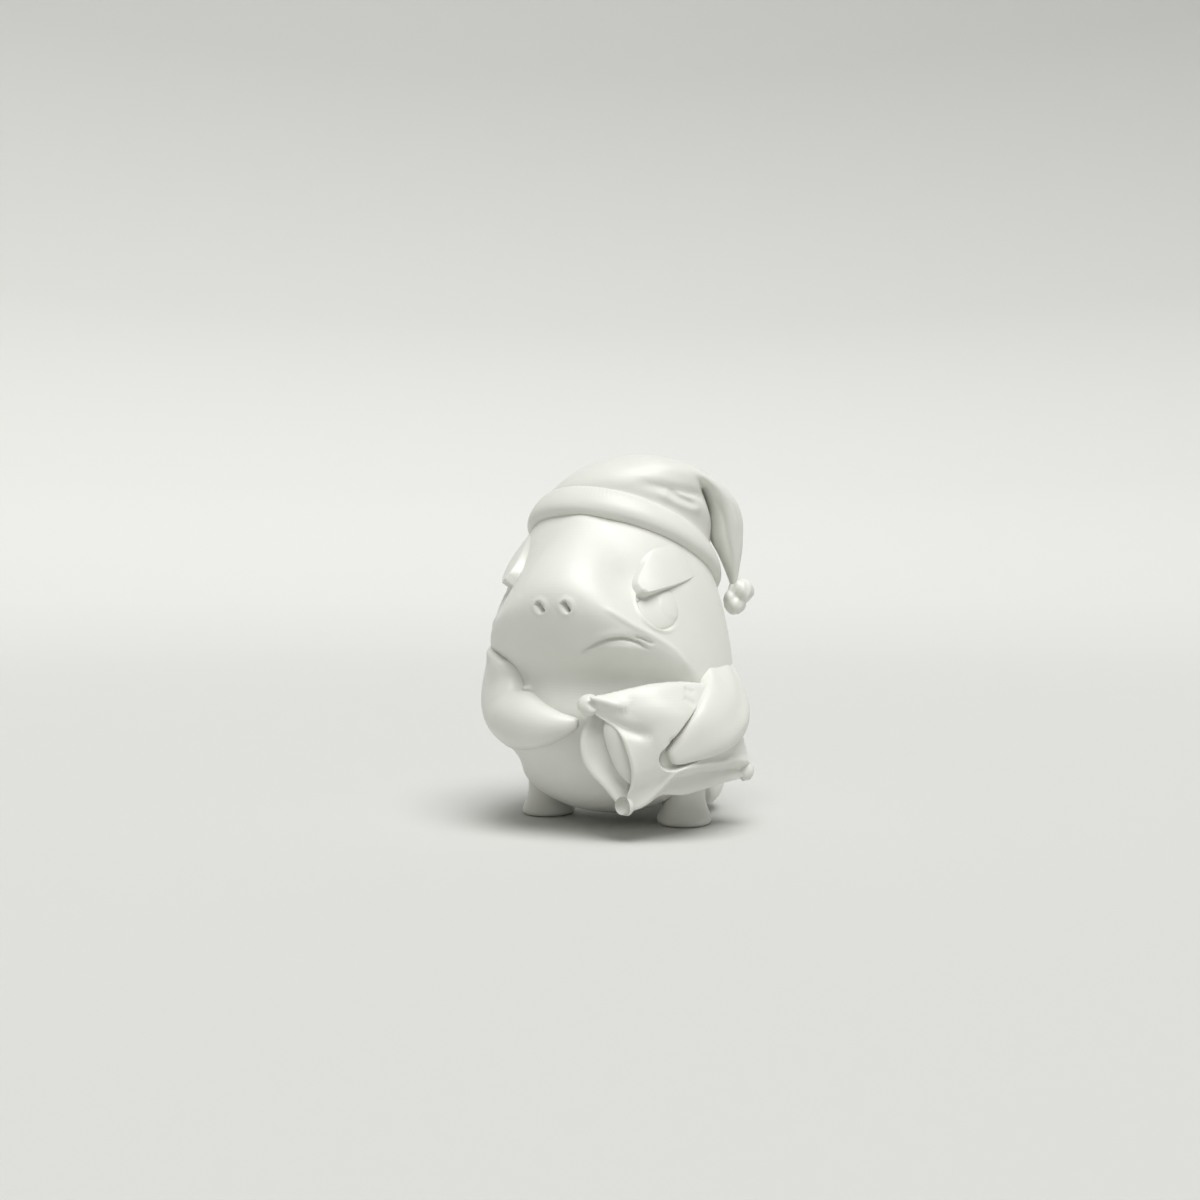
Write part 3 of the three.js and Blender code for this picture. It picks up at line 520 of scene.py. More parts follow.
RIM_ANGLE = -140.0  # direction in which the lower lid's rim is boldest
RIM_SPREAD = 55.0
RIM_RISE = 0.26
RIM_OUT = 0.3  # from the eye's outline
RIM_WIDTH = 0.2


def brow_dent(points):
    """Depth of the hollow between the forehead and the left eyelid."""
    return BROW_DENT_DEPTH * hump(gap_to(points, skin_point(*BROW_DENT)), 0.0, BROW_DENT_SIZE)


def off_rim(aside, rise):
    """Angle between an offset from the eye's centre and the boldest part of the rim."""
    angle = np.degrees(np.arctan2(rise, aside)) - RIM_ANGLE
    return (angle + 180.0) % 360.0 - 180.0


def eye_stretch(aside, rise):
    """How much wider an eye is than a circle, at an offset from its centre."""
    return 1.0 + EYE_STRETCH * hump(off_rim(aside, rise), 0.0, EYE_STRETCH_SPREAD)


def eye_relief(points, turn, height, side):
    """Relief of the socket and the rim round an eye."""
    aside, rise = (side * np.degrees(turn) - EYE_TURN) * SKIN_MM, height - EYE_HEIGHT
    gap = gap_to(points, skin_point(side * EYE_TURN, EYE_HEIGHT)) / eye_stretch(aside, rise)
    gap -= size("eye_radius")
    socket = EYE_SOCKET * (1.0 - smooth(aside, *SOCKET_SLOPE)) * (1.0 - smooth(gap, *SOCKET_EDGE))
    return RIM_RISE * hump(gap, RIM_OUT, RIM_WIDTH) * hump(off_rim(aside, rise), 0.0, RIM_SPREAD) - socket


def body_piece():
    """The egg with its snout, face and throat."""
    bm, angle, v = ball(around=380, up=260)
    t = angle - math.pi
    turn = math.radians(FACE_TURN) + t - FACE_FINENESS * np.sin(t)
    turn = (turn + math.pi) % (2.0 * math.pi) - math.pi
    middle = v + RING_GATHER * np.sin(2.0 * math.pi * v) / (2.0 * math.pi)
    pole = 1.0 - smooth(np.minimum(v, 1.0 - v), *POLE_CAP)
    share = middle * (1.0 - pole) + eased(v) * pole
    height = size("body_base") + (size("body_top") - size("body_base")) * share
    points = skin(turn, height)
    move(bm, points)
    normals = outward(bm)
    relief = np.zeros(len(points))
    for places, width, rise, fade in FACE_PASSES:
        relief += rise * stroke(points, on_skin(places), width, fade)
    for slit in NOSTRILS:
        relief += NOSTRIL_RISE * hump(gap_to(points, np.mean(on_skin(slit), axis=0)), *NOSTRIL_RIM)
    relief += ARM_NUB_RISE * hump(gap_to(points, skin_point(*ARM_NUB)), 0.0, ARM_NUB_SIZE)
    relief -= CHEEK_HOLLOW * hump(height, *CHEEK_HEIGHT) * hump(np.degrees(turn), *CHEEK_TURN)
    relief -= brow_dent(points)
    relief -= HEAD_SINK * smooth(height, *(size("body_top") - depth for depth in HEAD_SINK_RUN))
    for side in SIDES.values():
        relief += eye_relief(points, turn, height, side)
    finish_piece("body_sculpt", bm, points + normals * relief[:, None], "body")


def seat(side, turn, height):
    """Centre and axes on the skin: along the turn, up the skin and out of it."""
    angle, height = np.radians(side * turn), np.array(float(height))
    out = skin_normal(angle, height)
    along = unit(np.array([math.cos(angle), math.sin(angle), 0.0]))
    along = unit(along - out * np.dot(along, out))
    return skin(angle, height), along, np.cross(out, along), out


EYE_DOME = 0.5
EYE_RIM = 0.5  # depth of the dome's rim under the skin, towards the nose
EYE_RIM_LOSS = 0.6  # share of it that is lost across the eye
EYE_SPAN = 1.9  # half the width over which it is lost
IRIS_RADIUS = 1.5
IRIS_SOFTNESS = 0.2
IRIS_OUT = 1.3  # the iris sits this much nearer the side of the head
IRIS_RISE = 0.06
IRIS_FRONT = 0.4  # share of the dome's height from which it has that rise
HEAD_ROUNDING = 12.2  # radius of the head round the eye


def eye_piece(name, side):
    """A low dome with a raised iris that looks sideways."""
    bm, angle, v = ball(around=72, up=60)
    centre, along, up, out = seat(side, EYE_TURN, EYE_HEIGHT)
    girth = size("eye_radius") * np.sin(math.pi * v)
    x, y = girth * np.cos(angle), girth * np.sin(angle)
    z = -np.cos(math.pi * v)
    stretch = eye_stretch(side * x, y)
    x, y = x * stretch, y * stretch
    iris = np.hypot(x - side * IRIS_OUT, y) - IRIS_RADIUS
    rise = IRIS_RISE * (1.0 - smooth(iris, -IRIS_SOFTNESS, IRIS_SOFTNESS)) * smooth(z, 0.0, IRIS_FRONT)
    rim = EYE_RIM * (1.0 - EYE_RIM_LOSS * smooth(side * x, -EYE_SPAN, EYE_SPAN))
    z = np.where(z > 0.0, EYE_DOME * z, z) - rim + rise
    z -= x ** 2 / (2.0 * HEAD_ROUNDING)
    points = centre + x[:, None] * along + y[:, None] * up + z[:, None] * out
    finish_piece(f"{name}_eye_dome", bm, points, f"{name}_eye")


LID_CROWDING = 1.5  # exponent that crowds the mesh at the lower edge
LID_CORNER = (35.6, 23.55)  # inner corner of the lid's lower edge
LID_SLANT = 15.5  # the lower edge rises by this angle towards the side
LID_LENGTH = 9.2
# Reach of each lid up the brow, how much higher it sits, its fullness and the share lost towards the side
LIDS = {"left": (5.0, 0.0, 1.0, 0.72), "right": (5.6, 0.9, 1.3, 0.3)}
LID_THIN_RUN = (0.6, 6.4)  # stretch over which that share is lost
LID_END = 5.8  # from here on it dies into the side of the head
LID_TOP_FALL = 1.7  # exponent of its fall towards the brow
LID_EDGE = 0.16  # rounding of the lid's lower edge
LID_WALL = 0.28  # and of its edge towards the nose
LID_CRISP = 1.3  # up to this height that edge is upright and crisp
LID_FADED = 2.8  # and from here a soft slope
LID_SOFTENING = 3.0  # growth of that edge's rounding
LID_SOFT = 4.6  # height at which it has grown
LID_SWEEP = (0.24, 1.5)  # factor and exponent of its sweep away from the nose
LID_CORNER_SIZE = 0.7  # reach of the lower inner corner
LID_CORNER_SHARE = 0.4  # share of the thickness that is left there
LID_CORNER_RISE = 0.5  # how far the lower edge rises there
LID_CORNER_RUN = 0.9  # and the length over which it does
LID_ROOT = 0.35  # how far the lid's edges are sunk in the skin
LID_ROOT_EASE = 0.6  # share by which they are sunk less higher up
LID_ROOT_RUN = (1.5, 4.0)
LID_TOP_SINK = 0.14  # further sink at the top
LID_TOP_START = 0.7  # as a share of the reach
LID_SIDE_SINK = 0.08  # and towards the side
LID_SIDE_START = 7.5
LID_DENT_RUN = 1.5  # height over which it takes on the brow's dent
LID_DEPTH = 0.6  # depth of the lid's underside below its root


def lid_piece(name, side):
    """A puffed brow: crisp below and towards the nose, dying into the head above and at the side."""
    bm, x, y, z = slab(cuts=90)
    reach, higher, fullness, thinning = LIDS[name]
    q = reach * ((y + 1.0) / 2.0) ** LID_CROWDING
    soft = LID_WALL + LID_SOFTENING * smooth(q, LID_CRISP, LID_SOFT)
    inner = LID_SWEEP[0] * np.maximum(q - LID_CRISP, 0.0) ** LID_SWEEP[1]
    inside = (LID_LENGTH - inner) * eased((x + 1.0) / 2.0)
    p = inner + inside
    slant = math.radians(LID_SLANT)
    turn = math.radians(LID_CORNER[0]) + (p * math.cos(slant) - q * math.sin(slant)) / HEAD_ROUNDING
    height = LID_CORNER[1] + higher + p * math.sin(slant) + q * math.cos(slant)
    faded = smooth(q, LID_CRISP, LID_FADED)
    wall = round_edge(inside / soft) * (1.0 - faded) + smooth(inside, 0.0, soft) * faded
    corner = clamp(np.hypot(inside, q) / LID_CORNER_SIZE)
    raised = q - LID_CORNER_RISE * (1.0 - clamp(inside / LID_CORNER_RUN)) ** 2
    wall *= round_edge(np.maximum(raised, 0.0) / LID_EDGE)
    wall *= LID_CORNER_SHARE + (1.0 - LID_CORNER_SHARE) * corner
    fall = (1.0 - thinning * smooth(p, *LID_THIN_RUN)) * (1.0 - smooth(p, LID_END, LID_LENGTH))
    fall *= np.cos(clamp(q / reach) * math.pi / 2.0) ** LID_TOP_FALL
    rise = fullness * size("lid_thickness") * wall * fall
    rise -= LID_ROOT * (1.0 - wall) * (1.0 - LID_ROOT_EASE * smooth(q, *LID_ROOT_RUN))
    rise -= LID_TOP_SINK * smooth(q, LID_TOP_START * reach, reach)
    rise -= LID_SIDE_SINK * smooth(p, LID_SIDE_START, LID_LENGTH)
    points = skin(side * turn, height)
    lift = np.where(z > 0.0, rise, -LID_ROOT - LID_DEPTH) - brow_dent(points) * smooth(q, 0.0, LID_DENT_RUN)
    points += skin_normal(side * turn, height) * lift[:, None]
    finish_piece(f"{name}_eyelid_brow", bm, points, f"{name}_eyelid")


# Flippers, feet, tail and fin

# The right flipper runs between two edges, and arches between them by the lifts of its middle.
RIGHT_ARM_INNER = [(-49, 20.2, -2.2), (-38, 18.8, -0.5), (-29, 17.4, 0.1), (-26.2, 15.7, 0.2),
                   (-23.5, 14.6, 0.4), (-16, 14.3, 0.8), (-7.5, 13.6, 1.1), (2, 13.0, 1.2), (9.6, 12.6, 1.1)]
RIGHT_ARM_OUTER = [(-66, 20.0, -2.4), (-72, 17.2, -1.2), (-71, 14.6, -1.0), (-65, 12.0, -0.8),
                   (-55, 9.9, -0.5), (-42, 8.6, 0.0), (-27, 8.2, 0.6), (-8, 8.7, 1.1), (9.6, 10.5, 1.1)]
RIGHT_ARM_MIDDLE = [-2.6, -1.1, -0.7, -0.5, -0.2, 0.3, 0.7, 1.1, 1.1]
RIGHT_ARM_THICKNESS = [1.1, 1.75, 1.9, 2.0, 2.0, 1.95, 1.85, 1.6, 1.0]
RIGHT_ARM_POWER = 0.87  # exponent of its nearly round section
FIRM_EDGE = 0.4  # what that loses at the upper part's firm inner edge
FIRM_RUN = (0.4, 0.62)  # shares of the length between which that edge ends
FIRM_SIDE = 0.5  # share of the half width over which it begins
LEFT_ARM = [(100, 18.9, -1.9), (91, 15.8, -0.2), (79.5, 13.4, 1.3), (60.8, 11.1, 2.9), (44.6, 8.3, 4.0)]
LEFT_ARM_WIDTHS = [2.6, 3.7, 3.8, 3.0, 1.5]
LEFT_ARM_THICKNESS = [1.3, 1.4, 1.4, 1.4, 1.1]
LEFT_ARM_SQUARENESS = 3.0
SHOULDER = (0.4, 0.86)  # shares of its length between which its sunk edge comes out
SHOULDER_SIDE = (-0.5, 0.9)  # and of its half width
SHOULDER_SINK = 2.4
TAIL = [(184, 6.6, -3.0), (172, 5.0, 2.8), (150, 3.7, 4.9), (123, 2.4, 4.0)]
TAIL_HEIGHTS = [5.0, 4.2, 3.0, 2.0]
TAIL_THICKNESS = [4.6, 3.6, 2.4, 1.5]
FIN_SQUARENESS = 2.4
FIN_SPINE = [(0, 9.6, 13.3), (0, 12.6, 12.9), (0, 15.4, 12.0), (0, 17.6, 10.9)]
FIN_CHORD = [5.0, 4.1, 2.6, 0.9]
FIN_THICKNESS = [0.95, 0.85, 0.7, 0.45]
FOOT_SPACING = 15.9
FOOT_LENGTHENING = 1.12
FOOT_PROFILE = [(0.0, 0.0), (1.4, 0.0), (2.35, 0.02), (2.72, 0.2), (2.82, 0.6), (2.66, 1.15), (2.36, 1.9),
                (2.2, 2.7), (2.2, 3.6), (2.15, 4.5), (1.8, 5.6), (1.2, 6.6), (0.0, 7.0)]


def right_arm_piece():
    """The flipper that lies across the belly."""
    bm, angle, v = ball(around=120, up=140)
    share = eased(v)
    ends = np.sqrt(np.sin(math.pi * v).clip(0.0))
    wide, thick = np.cos(angle), np.sin(angle)
    power = RIGHT_ARM_POWER - FIRM_EDGE * (1.0 - smooth(share, *FIRM_RUN)) * smooth(wide, 0.0, FIRM_SIDE)
    wide, thick = (rounded(k, power) * ends for k in (wide, thick))
    turns, heights, _ = (np.array(RIGHT_ARM_INNER) + RIGHT_ARM_OUTER).T / 2.0
    reach = egg_radius(np.radians(turns), heights) + RIGHT_ARM_MIDDLE
    middle = run(spot(turns, heights, reach), share)
    inner, outer = run(lifted(RIGHT_ARM_INNER), share), run(lifted(RIGHT_ARM_OUTER), share)
    points = middle * (1.0 - wide ** 2)[:, None] + inner * ((wide ** 2 + wide) / 2.0)[:, None]
    points += outer * ((wide ** 2 - wide) / 2.0)[:, None]
    points += level(middle) * (thick * run(RIGHT_ARM_THICKNESS, share))[:, None]
    finish_piece("right_flipper", bm, points, "right_arm")


def left_arm_piece():
    """The flipper that clamps the pillow, flat with a firm edge."""
    bm, angle, v = ball(around=120, up=140)
    points = limb_points(angle, v, lifted(LEFT_ARM), LEFT_ARM_WIDTHS, LEFT_ARM_THICKNESS, LEFT_ARM_SQUARENESS)
    sink = SHOULDER_SINK * smooth(-np.cos(angle), *SHOULDER_SIDE) * (1.0 - smooth(eased(v), *SHOULDER))
    finish_piece("left_flipper", bm, points - level(points) * sink[:, None], "left_arm")


def tail_piece():
    """The stout tail that curls round to the left."""
    bm, angle, v = ball(around=80, up=110)
    points = limb_points(angle, v, lifted(TAIL), TAIL_HEIGHTS, TAIL_THICKNESS)
    finish_piece("tail_curl", bm, points, "tail")


def fin_piece():
    """The swept fin on the back."""
    bm, angle, v = ball(around=80, up=90)
    spine = np.array(FIN_SPINE, float)
    points = limb_points(angle, v, spine, FIN_CHORD, FIN_THICKNESS, FIN_SQUARENESS, (1.0, 0.0, 0.0))
    finish_piece("back_fin", bm, points, "dorsal_fin")


def foot_piece(name, side):
    """A stubby leg with a flared sole."""
    bm, angle, v = ball(around=72, up=80)
    radius, height = run(FOOT_PROFILE, v).T
    x = side * FOOT_SPACING / 2.0 + radius * np.cos(angle)
    y = FOOT_SET_BACK + FOOT_LENGTHENING * radius * np.sin(angle)
    finish_piece(f"{name}_foot_bell", bm, np.stack([x, y, np.maximum(height, 0.0)], -1), f"{name}_foot")


# Nightcap

CAP_LOW_TURN = 165.0  # turn at which the cuff is lowest
SETTLING_PASSES = 14


def cap_point(turn, raised):
    """Points where the cap's tilted plane, raised by a height, crosses the head."""
    slope = math.tan(bpy.context.scene.figurine_sizes.cap_tilt) * np.cos(turn - math.radians(CAP_LOW_TURN))
    height = size("cap_height") + raised
    points = skin(turn, np.full_like(turn, height))
    for _ in range(SETTLING_PASSES):
        points = skin(turn, height - slope * np.hypot(points[:, 0], points[:, 1]))
    return points


CUFF_POWERS = (0.8, 0.85)  # exponents of the roll's section, out and up
RIBS = 110
RIB_RISE = 0.014  # as a share of the roll's
RIB_RUN = (-0.2, 0.6)  # shares of the half breadth between which they begin


def cuff_piece():
    """The rolled cuff, with shallow knit ribs at its upper edge."""
    bm, turn, angle = ring(around=560, section=36)
    middle = size("cuff_breadth") / 2.0
    step = 0.01
    centre = cap_point(turn, middle)
    up = unit(cap_point(turn, middle + step) - cap_point(turn, middle - step))
    out = unit(np.cross(cap_point(turn + step, middle) - cap_point(turn - step, middle), up))
    c, s = np.cos(angle), np.sin(angle)
    ribs = RIB_RISE * np.sin(RIBS * turn) * smooth(s, *RIB_RUN)
    rise = rounded(c, CUFF_POWERS[0]) * size("cuff_rise") * (1.0 + ribs)
    breadth = rounded(s, CUFF_POWERS[1]) * middle
    finish_piece("cap_cuff_roll", bm, centre + out * rise[:, None] + up * breadth[:, None], "cap_cuff")


DROOP_TURN = 120.4  # the cap's tail falls towards this turn
CROWN_CLOSING = (0.03, 0.975)  # shares of the mesh at which its ends close
CROWN_TUCK = 1.4  # how far the crown starts below the cuff's upper edge
CROWN_CLIMB = 9.0  # height that it would climb over the head
CROWN_START = 0.08  # share of its way at which its own rings start
CROWN_LOOSE = (0.06, 0.26)  # shares between which it goes over to them
CROWN_CLEAR = 0.5  # up to this share they are kept off the head
CROWN_CLEAR_TOP = 1.5  # depth under the head's top where that ends
# Rings of the crown: outer and inner point in the plane of the droop, as distances from the axis and heights
# above the cuff; then the half width across that plane, the slope in that direction and the centre's shift.
CROWN_RINGS = [
    ((-8.2, 4.85), (11.0, -0.55), 9.0, 0.33, -1.2),
    ((-6.6, 6.55), (11.0, 1.05), 8.6, 0.28, -0.9),
    ((-4.5, 8.25), (10.85, 2.85), 7.8, 0.20, -0.6),
    ((-1.7, 9.65), (10.35, 4.65), 6.9, 0.12, -0.3),
    ((2.6, 10.5), (9.75, 6.05), 5.8, 0.05, 0.0),
    ((7.4, 9.85), (9.5, 6.65), 4.5, 0.0, 0.0),
    ((11.3, 7.85), (9.5, 6.35), 3.6, 0.0, 0.0),
    ((13.4, 5.85), (10.0, 5.0), 3.0, 0.0, 0.0),
    ((14.2, 3.85), (10.4, 3.3), 2.6, 0.0, 0.0),
    ((14.3, 1.95), (10.75, 1.65), 2.2, 0.0, 0.0),
    ((14.2, 0.25), (11.6, 0.05), 1.8, 0.0, 0.0),
    ((13.95, -1.35), (12.3, -1.5), 1.3, 0.0, 0.0),
    ((13.7, -3.2), (13.0, -3.35), 0.7, 0.0, 0.0),
]
# Folds of the crown as places: share of the way to the tip and angle round the ring in degrees.
CROWN_VALLEYS = [[(0.37, -25), (0.31, -45), (0.27, -63), (0.23, -83), (0.2, -97)],
                 [(0.24, -46), (0.225, -60), (0.215, -74)]]
CROWN_RIDGES = [[(0.235, -38), (0.2, -55), (0.19, -78)], [(0.3, -40), (0.255, -58), (0.235, -72)]]
DROOP_FOLDS = [[(0.58, -60), (0.75, -75), (0.95, -70)], [(0.6, -115), (0.75, -120), (0.93, -110)]]
CROWN_PASSES = [(CROWN_VALLEYS, 0.6, -0.38), (CROWN_RIDGES, 0.45, 0.2), (DROOP_FOLDS, 0.35, -0.16)]
CROWN_FADE = 0.35  # share of a fold that fades at each end


def crown_points(share, angle):
    """Points of the crown from shares of the way to its tip and angles round it."""
    turn = math.radians(DROOP_TURN) + angle
    dome = cap_point(turn, size("cuff_breadth") - CROWN_TUCK + CROWN_CLIMB * share)
    dome += skin_normal(turn, dome[:, 2]) * size("crown_rise")
    along = polar(math.radians(DROOP_TURN), 1.0, 0.0)
    up = np.array([0.0, 0.0, 1.0])
    side = np.cross(along, up)
    way = (share - CROWN_START) / (1.0 - CROWN_START)
    outer, inner, width, tilt, shift = (run(values, way) for values in zip(*CROWN_RINGS))
    plane = (outer + inner) / 2.0 + (inner - outer) / 2.0 * np.cos(angle)[:, None]
    across = shift - width * np.sin(angle)
    height = size("cap_height") + plane[:, 1] + tilt * across
    sock = plane[:, :1] * along + across[:, None] * side + height[:, None] * up
    around = np.arctan2(sock[:, 0], -sock[:, 1])
    reach = np.hypot(sock[:, 0], sock[:, 1])
    top = size("body_top")
    floor = egg_radius(around, np.minimum(height, top)) + size("crown_rise")
    need = np.where(share < CROWN_CLEAR, np.maximum(floor - reach, 0.0), 0.0)
    need *= 1.0 - smooth(height, top - CROWN_CLEAR_TOP, top)
    sock += level(sock) * need[:, None]
    loose = smooth(share, *CROWN_LOOSE)[:, None]
    return dome * (1.0 - loose) + sock * loose


def crown_piece():
    """The cap over the head, running out into a tail that folds over to the left."""
    bm, angle, v = ball(around=260, up=280)
    first, last = CROWN_CLOSING
    share = clamp((v - first) / (last - first))
    points = crown_points(share, angle)
    ring_middle = (points + crown_points(share, angle + math.pi)) / 2.0
    close = np.sqrt(clamp(np.minimum(v / first, (1.0 - v) / (1.0 - last))))
    points = ring_middle + (points - ring_middle) * close[:, None]
    move(bm, points)
    normals = outward(bm)
    relief = np.zeros(len(points))
    for folds, width, rise in CROWN_PASSES:
        for fold in folds:
            shares, angles = route(fold, FOLD_STEPS).T
            relief += rise * stroke(points, crown_points(shares, np.radians(angles)), width, CROWN_FADE)
    finish_piece("cap_crown_sock", bm, points + normals * relief[:, None], "cap_crown")


# Lobes of the pompom: offset towards the droop's side, the front and up, and radius
POMPOM_LOBES = [((0.3, 0.0, 0.75), 1.5), ((-0.35, 0.25, -0.75), 1.2), ((-0.85, 0.3, 0.0), 0.9)]
POMPOM_TURN = 24.0
POMPOM_BLEND = 0.18  # rounding of the clefts between the lobes
POMPOM_TUFTS = [(0.1, 5.0, 9.0), (0.05, 9.0, -14.0)]  # rise, count round it and twist
POMPOM_TRIM = 0.15  # what the tufts leave room for


def pompom_piece():
    """The tufted ball at the end of the cap's tail, with curled lobes below."""
    bm, angle, v = ball(around=110, up=96)
    low, high = box_mm("cap_pompom")
    centre = (low + high) / 2.0 - AXIS
    girth = np.sin(math.pi * v)
    ray = np.stack([girth * np.cos(angle), girth * np.sin(angle), -np.cos(math.pi * v)], -1)
    c, s = math.cos(math.radians(POMPOM_TURN)), math.sin(math.radians(POMPOM_TURN))
    radii = np.zeros(len(ray))
    for (aside, ahead, up), radius in POMPOM_LOBES:
        offset = np.array([c * aside + s * ahead, s * aside - c * ahead, up])
        along = ray @ offset
        reach = along + np.sqrt(np.maximum(along ** 2 - offset @ offset + radius ** 2, 0.0))
        radii = (radii + reach + np.hypot(radii - reach, POMPOM_BLEND)) / 2.0
    tufts = sum(rise * np.sin(count * angle + twist * v) for rise, count, twist in POMPOM_TUFTS)
    radii += tufts * girth - POMPOM_TRIM
    finish_piece("cap_pompom_tuft", bm, centre + ray * radii[:, None], "cap_pompom")


# Pillow and its case: places are a turn in degrees, a height and a distance from the axis.

FRONT_LIP = [(13.4, 14.2, 14.8), (17.0, 12.8, 15.1), (22.0, 12.0, 15.4), (26.8, 11.0, 15.6),
             (29.9, 9.0, 15.6), (31.5, 7.2, 15.3), (31.4, 5.8, 14.8), (30.0, 4.6, 14.3), (29.4, 2.8, 14.1)]
BACK_LIP = [(12.4, 13.8, 14.4), (14.4, 12.2, 14.0), (12.7, 10.9, 13.9), (12.2, 9.6, 13.9), (13.2, 8.0, 13.8),
            (16.4, 6.7, 13.6), (20.6, 5.6, 13.4), (24.6, 4.5, 13.4), (27.4, 2.8, 13.6)]
CLOSED_END = [(84, 14.6, 13.4), (90, 12.4, 13.5), (95, 10.2, 13.7), (98.5, 7.7, 14.3), (101, 5.3, 15.2)]
TOP_SEAM = [(12.9, 14.0, 14.6), (24, 14.6, 14.4), (38.8, 15.35, 14.2), (52, 15.5, 14.0), (68, 15.1, 13.7),
            (84, 14.6, 13.4)]
LOW_SEAM = [(28.6, 2.8, 13.8), (36.8, 3.8, 13.7), (43.5, 4.6, 13.5), (54.0, 4.45, 13.5), (66.0, 4.8, 13.5),
            (82.2, 5.1, 13.8), (101, 5.3, 15.2)]
CASE_LIP = 0.72  # share of the mesh that is the outer face
CASE_TURN_IN = 0.78  # and from which it lines the mouth
CHART = 0.262  # length of one degree of turn on the case
# Folds of the outer panel, as turns and heights
FLANGE = [(28.6, 2.8), (36.8, 3.9), (41.2, 5.1), (44.9, 6.3), (47.5, 7.1), (60.0, 7.5), (80.0, 7.3),
          (95.0, 6.8)]
EAR_CREST = [(13.0, 14.0), (16.0, 14.2), (20.0, 14.0), (25.0, 13.6), (30.0, 13.2)]
EAR_VALLEY = [(16.4, 12.9), (19.5, 12.2), (25.6, 11.5), (33.0, 10.9), (38.5, 10.6)]
GATHERS = [[(49.5, 14.2), (52.0, 13.7), (55.0, 13.3)], [(51.0, 15.0), (53.0, 14.7), (56.0, 14.5)]]
# Folds, their widths and their heights
CASE_PASSES = [(EAR_CREST, 0.7, 0.75), (EAR_VALLEY, 0.6, -0.5), *((gather, 0.3, -0.14) for gather in GATHERS)]
CASE_FADE = 0.3  # share of a fold that fades at each end
PITS = [(44.6, 10.0), (43.0, 8.75)]
PIT_DEPTH = 0.7
PIT_SIZE = 0.34
FLANGE_BEAD = (-0.1, 0.4)  # place and width of the bead along the flange
FLANGE_RISE = 0.35
FLANGE_STEP = 0.9  # width of the step, 1 mm deep, down to the flange
# Shares of the case's length, from the lip, over which it takes on its forms
SWELL_RUN = 0.4
FLANGE_RUN = 0.15
WALL_RUN = 0.2
BACK_RUN = 0.3
BACK_HOLLOW = 2.0  # how far the back panel goes in to the belly
BACK_LOW = 0.25  # share of the height over which it does
BACK_SAG = 0.3  # how far it sags there
BELLY_GAP = 0.1
# Room under the flipper as a share of its half thickness, beside it, and where that begins
ARM_UNDER = 0.4
ARM_BESIDE = 3.0
ARM_EDGE = (-0.7, 0.5)
# Pinched corners: centre, radius of the roll and reach of the pinch
EARS = [((28.4, 3.7, 13.95), 0.95, 1.6), ((98.0, 5.8, 14.1), 1.25, 2.4)]
EAR_ENDS = [((27.6, 3.3, 14.8), 0.4), ((101.0, 5.4, 15.1), 0.5)]  # their hollow ends and radii
EAR_END_DEPTH = 0.9
LOBE = (14.9, 13.45, 14.75)  # rolled corner at the open end
LOBE_HALF = (1.15, 1.0, 1.06)  # its half sizes along, out and up
LOBE_FOLD = [(15.6, 13.95, 15.7), (17.6, 13.15, 15.8), (20.5, 12.3, 15.7)]  # fold in that corner
LOBE_FOLD_STEPS = 40
LOBE_FOLD_WIDTH = 0.3
LOBE_FOLD_DEPTH = 0.55
MOUTH_REACH = 0.3  # share of the case's length that stays open
MOUTH_TAPER = 0.3  # share by which the opening narrows
MOUTH_CLOSING = 0.6  # share of its depth from which it closes
MOUTH_ROUNDING = 1.5
MOUTH_BOTTOM = (np.array([MOUTH_REACH]), np.array([0.5]))  # its end, as a place on the panels
LIP_ROUNDING = 0.35
FAR_LIP_BEAD = 0.3  # the far lip's bead, and the hollow behind it
FAR_LIP_FALL = 0.75
FAR_LIP_RUN = (0.05, 0.35)


def panel(lip, s, t):
    """A panel of the case between its lip, its seams and its closed end: s from the lip, t from the top."""
    far, top, low, near = run(CLOSED_END, t), run(TOP_SEAM, s), run(LOW_SEAM, s), run(lip, t)
    s, t = s[:, None], t[:, None]
    a, b, c, d = (np.array(place, float) for place in (lip[0], lip[-1], CLOSED_END[-1], CLOSED_END[0]))
    corners = (a * (1.0 - t) + b * t) * (1.0 - s) + (d * (1.0 - t) + c * t) * s
    edges = (top + (a - np.array(TOP_SEAM[0])) * (1.0 - s)) * (1.0 - t)
    edges += (low + (b - np.array(LOW_SEAM[0])) * (1.0 - s)) * t
    return near * (1.0 - s) + far * s + edges - corners


def arm_limit(chart):
    """How far out the case can puff before it meets the flipper that clamps it."""
    share = np.linspace(0.0, 1.0, SKIN_STEPS)
    turn, height, lift = run(LEFT_ARM, share).T
    reach = egg_radius(np.radians(turn), height) + lift - ARM_UNDER * run(LEFT_ARM_THICKNESS, share)
    path = np.stack([turn * CHART, height], -1)
    gap = np.linalg.norm(chart[:, None] - path[None], axis=2)
    near = gap.argmin(1)
    return reach[near] + ARM_BESIDE * smooth(gap.min(1) - run(LEFT_ARM_WIDTHS, share)[near], *ARM_EDGE)


def seam_share(t):
    """0 at both seams and 1 midway between them."""
    return np.sqrt(clamp(4.0 * t * (1.0 - t)))


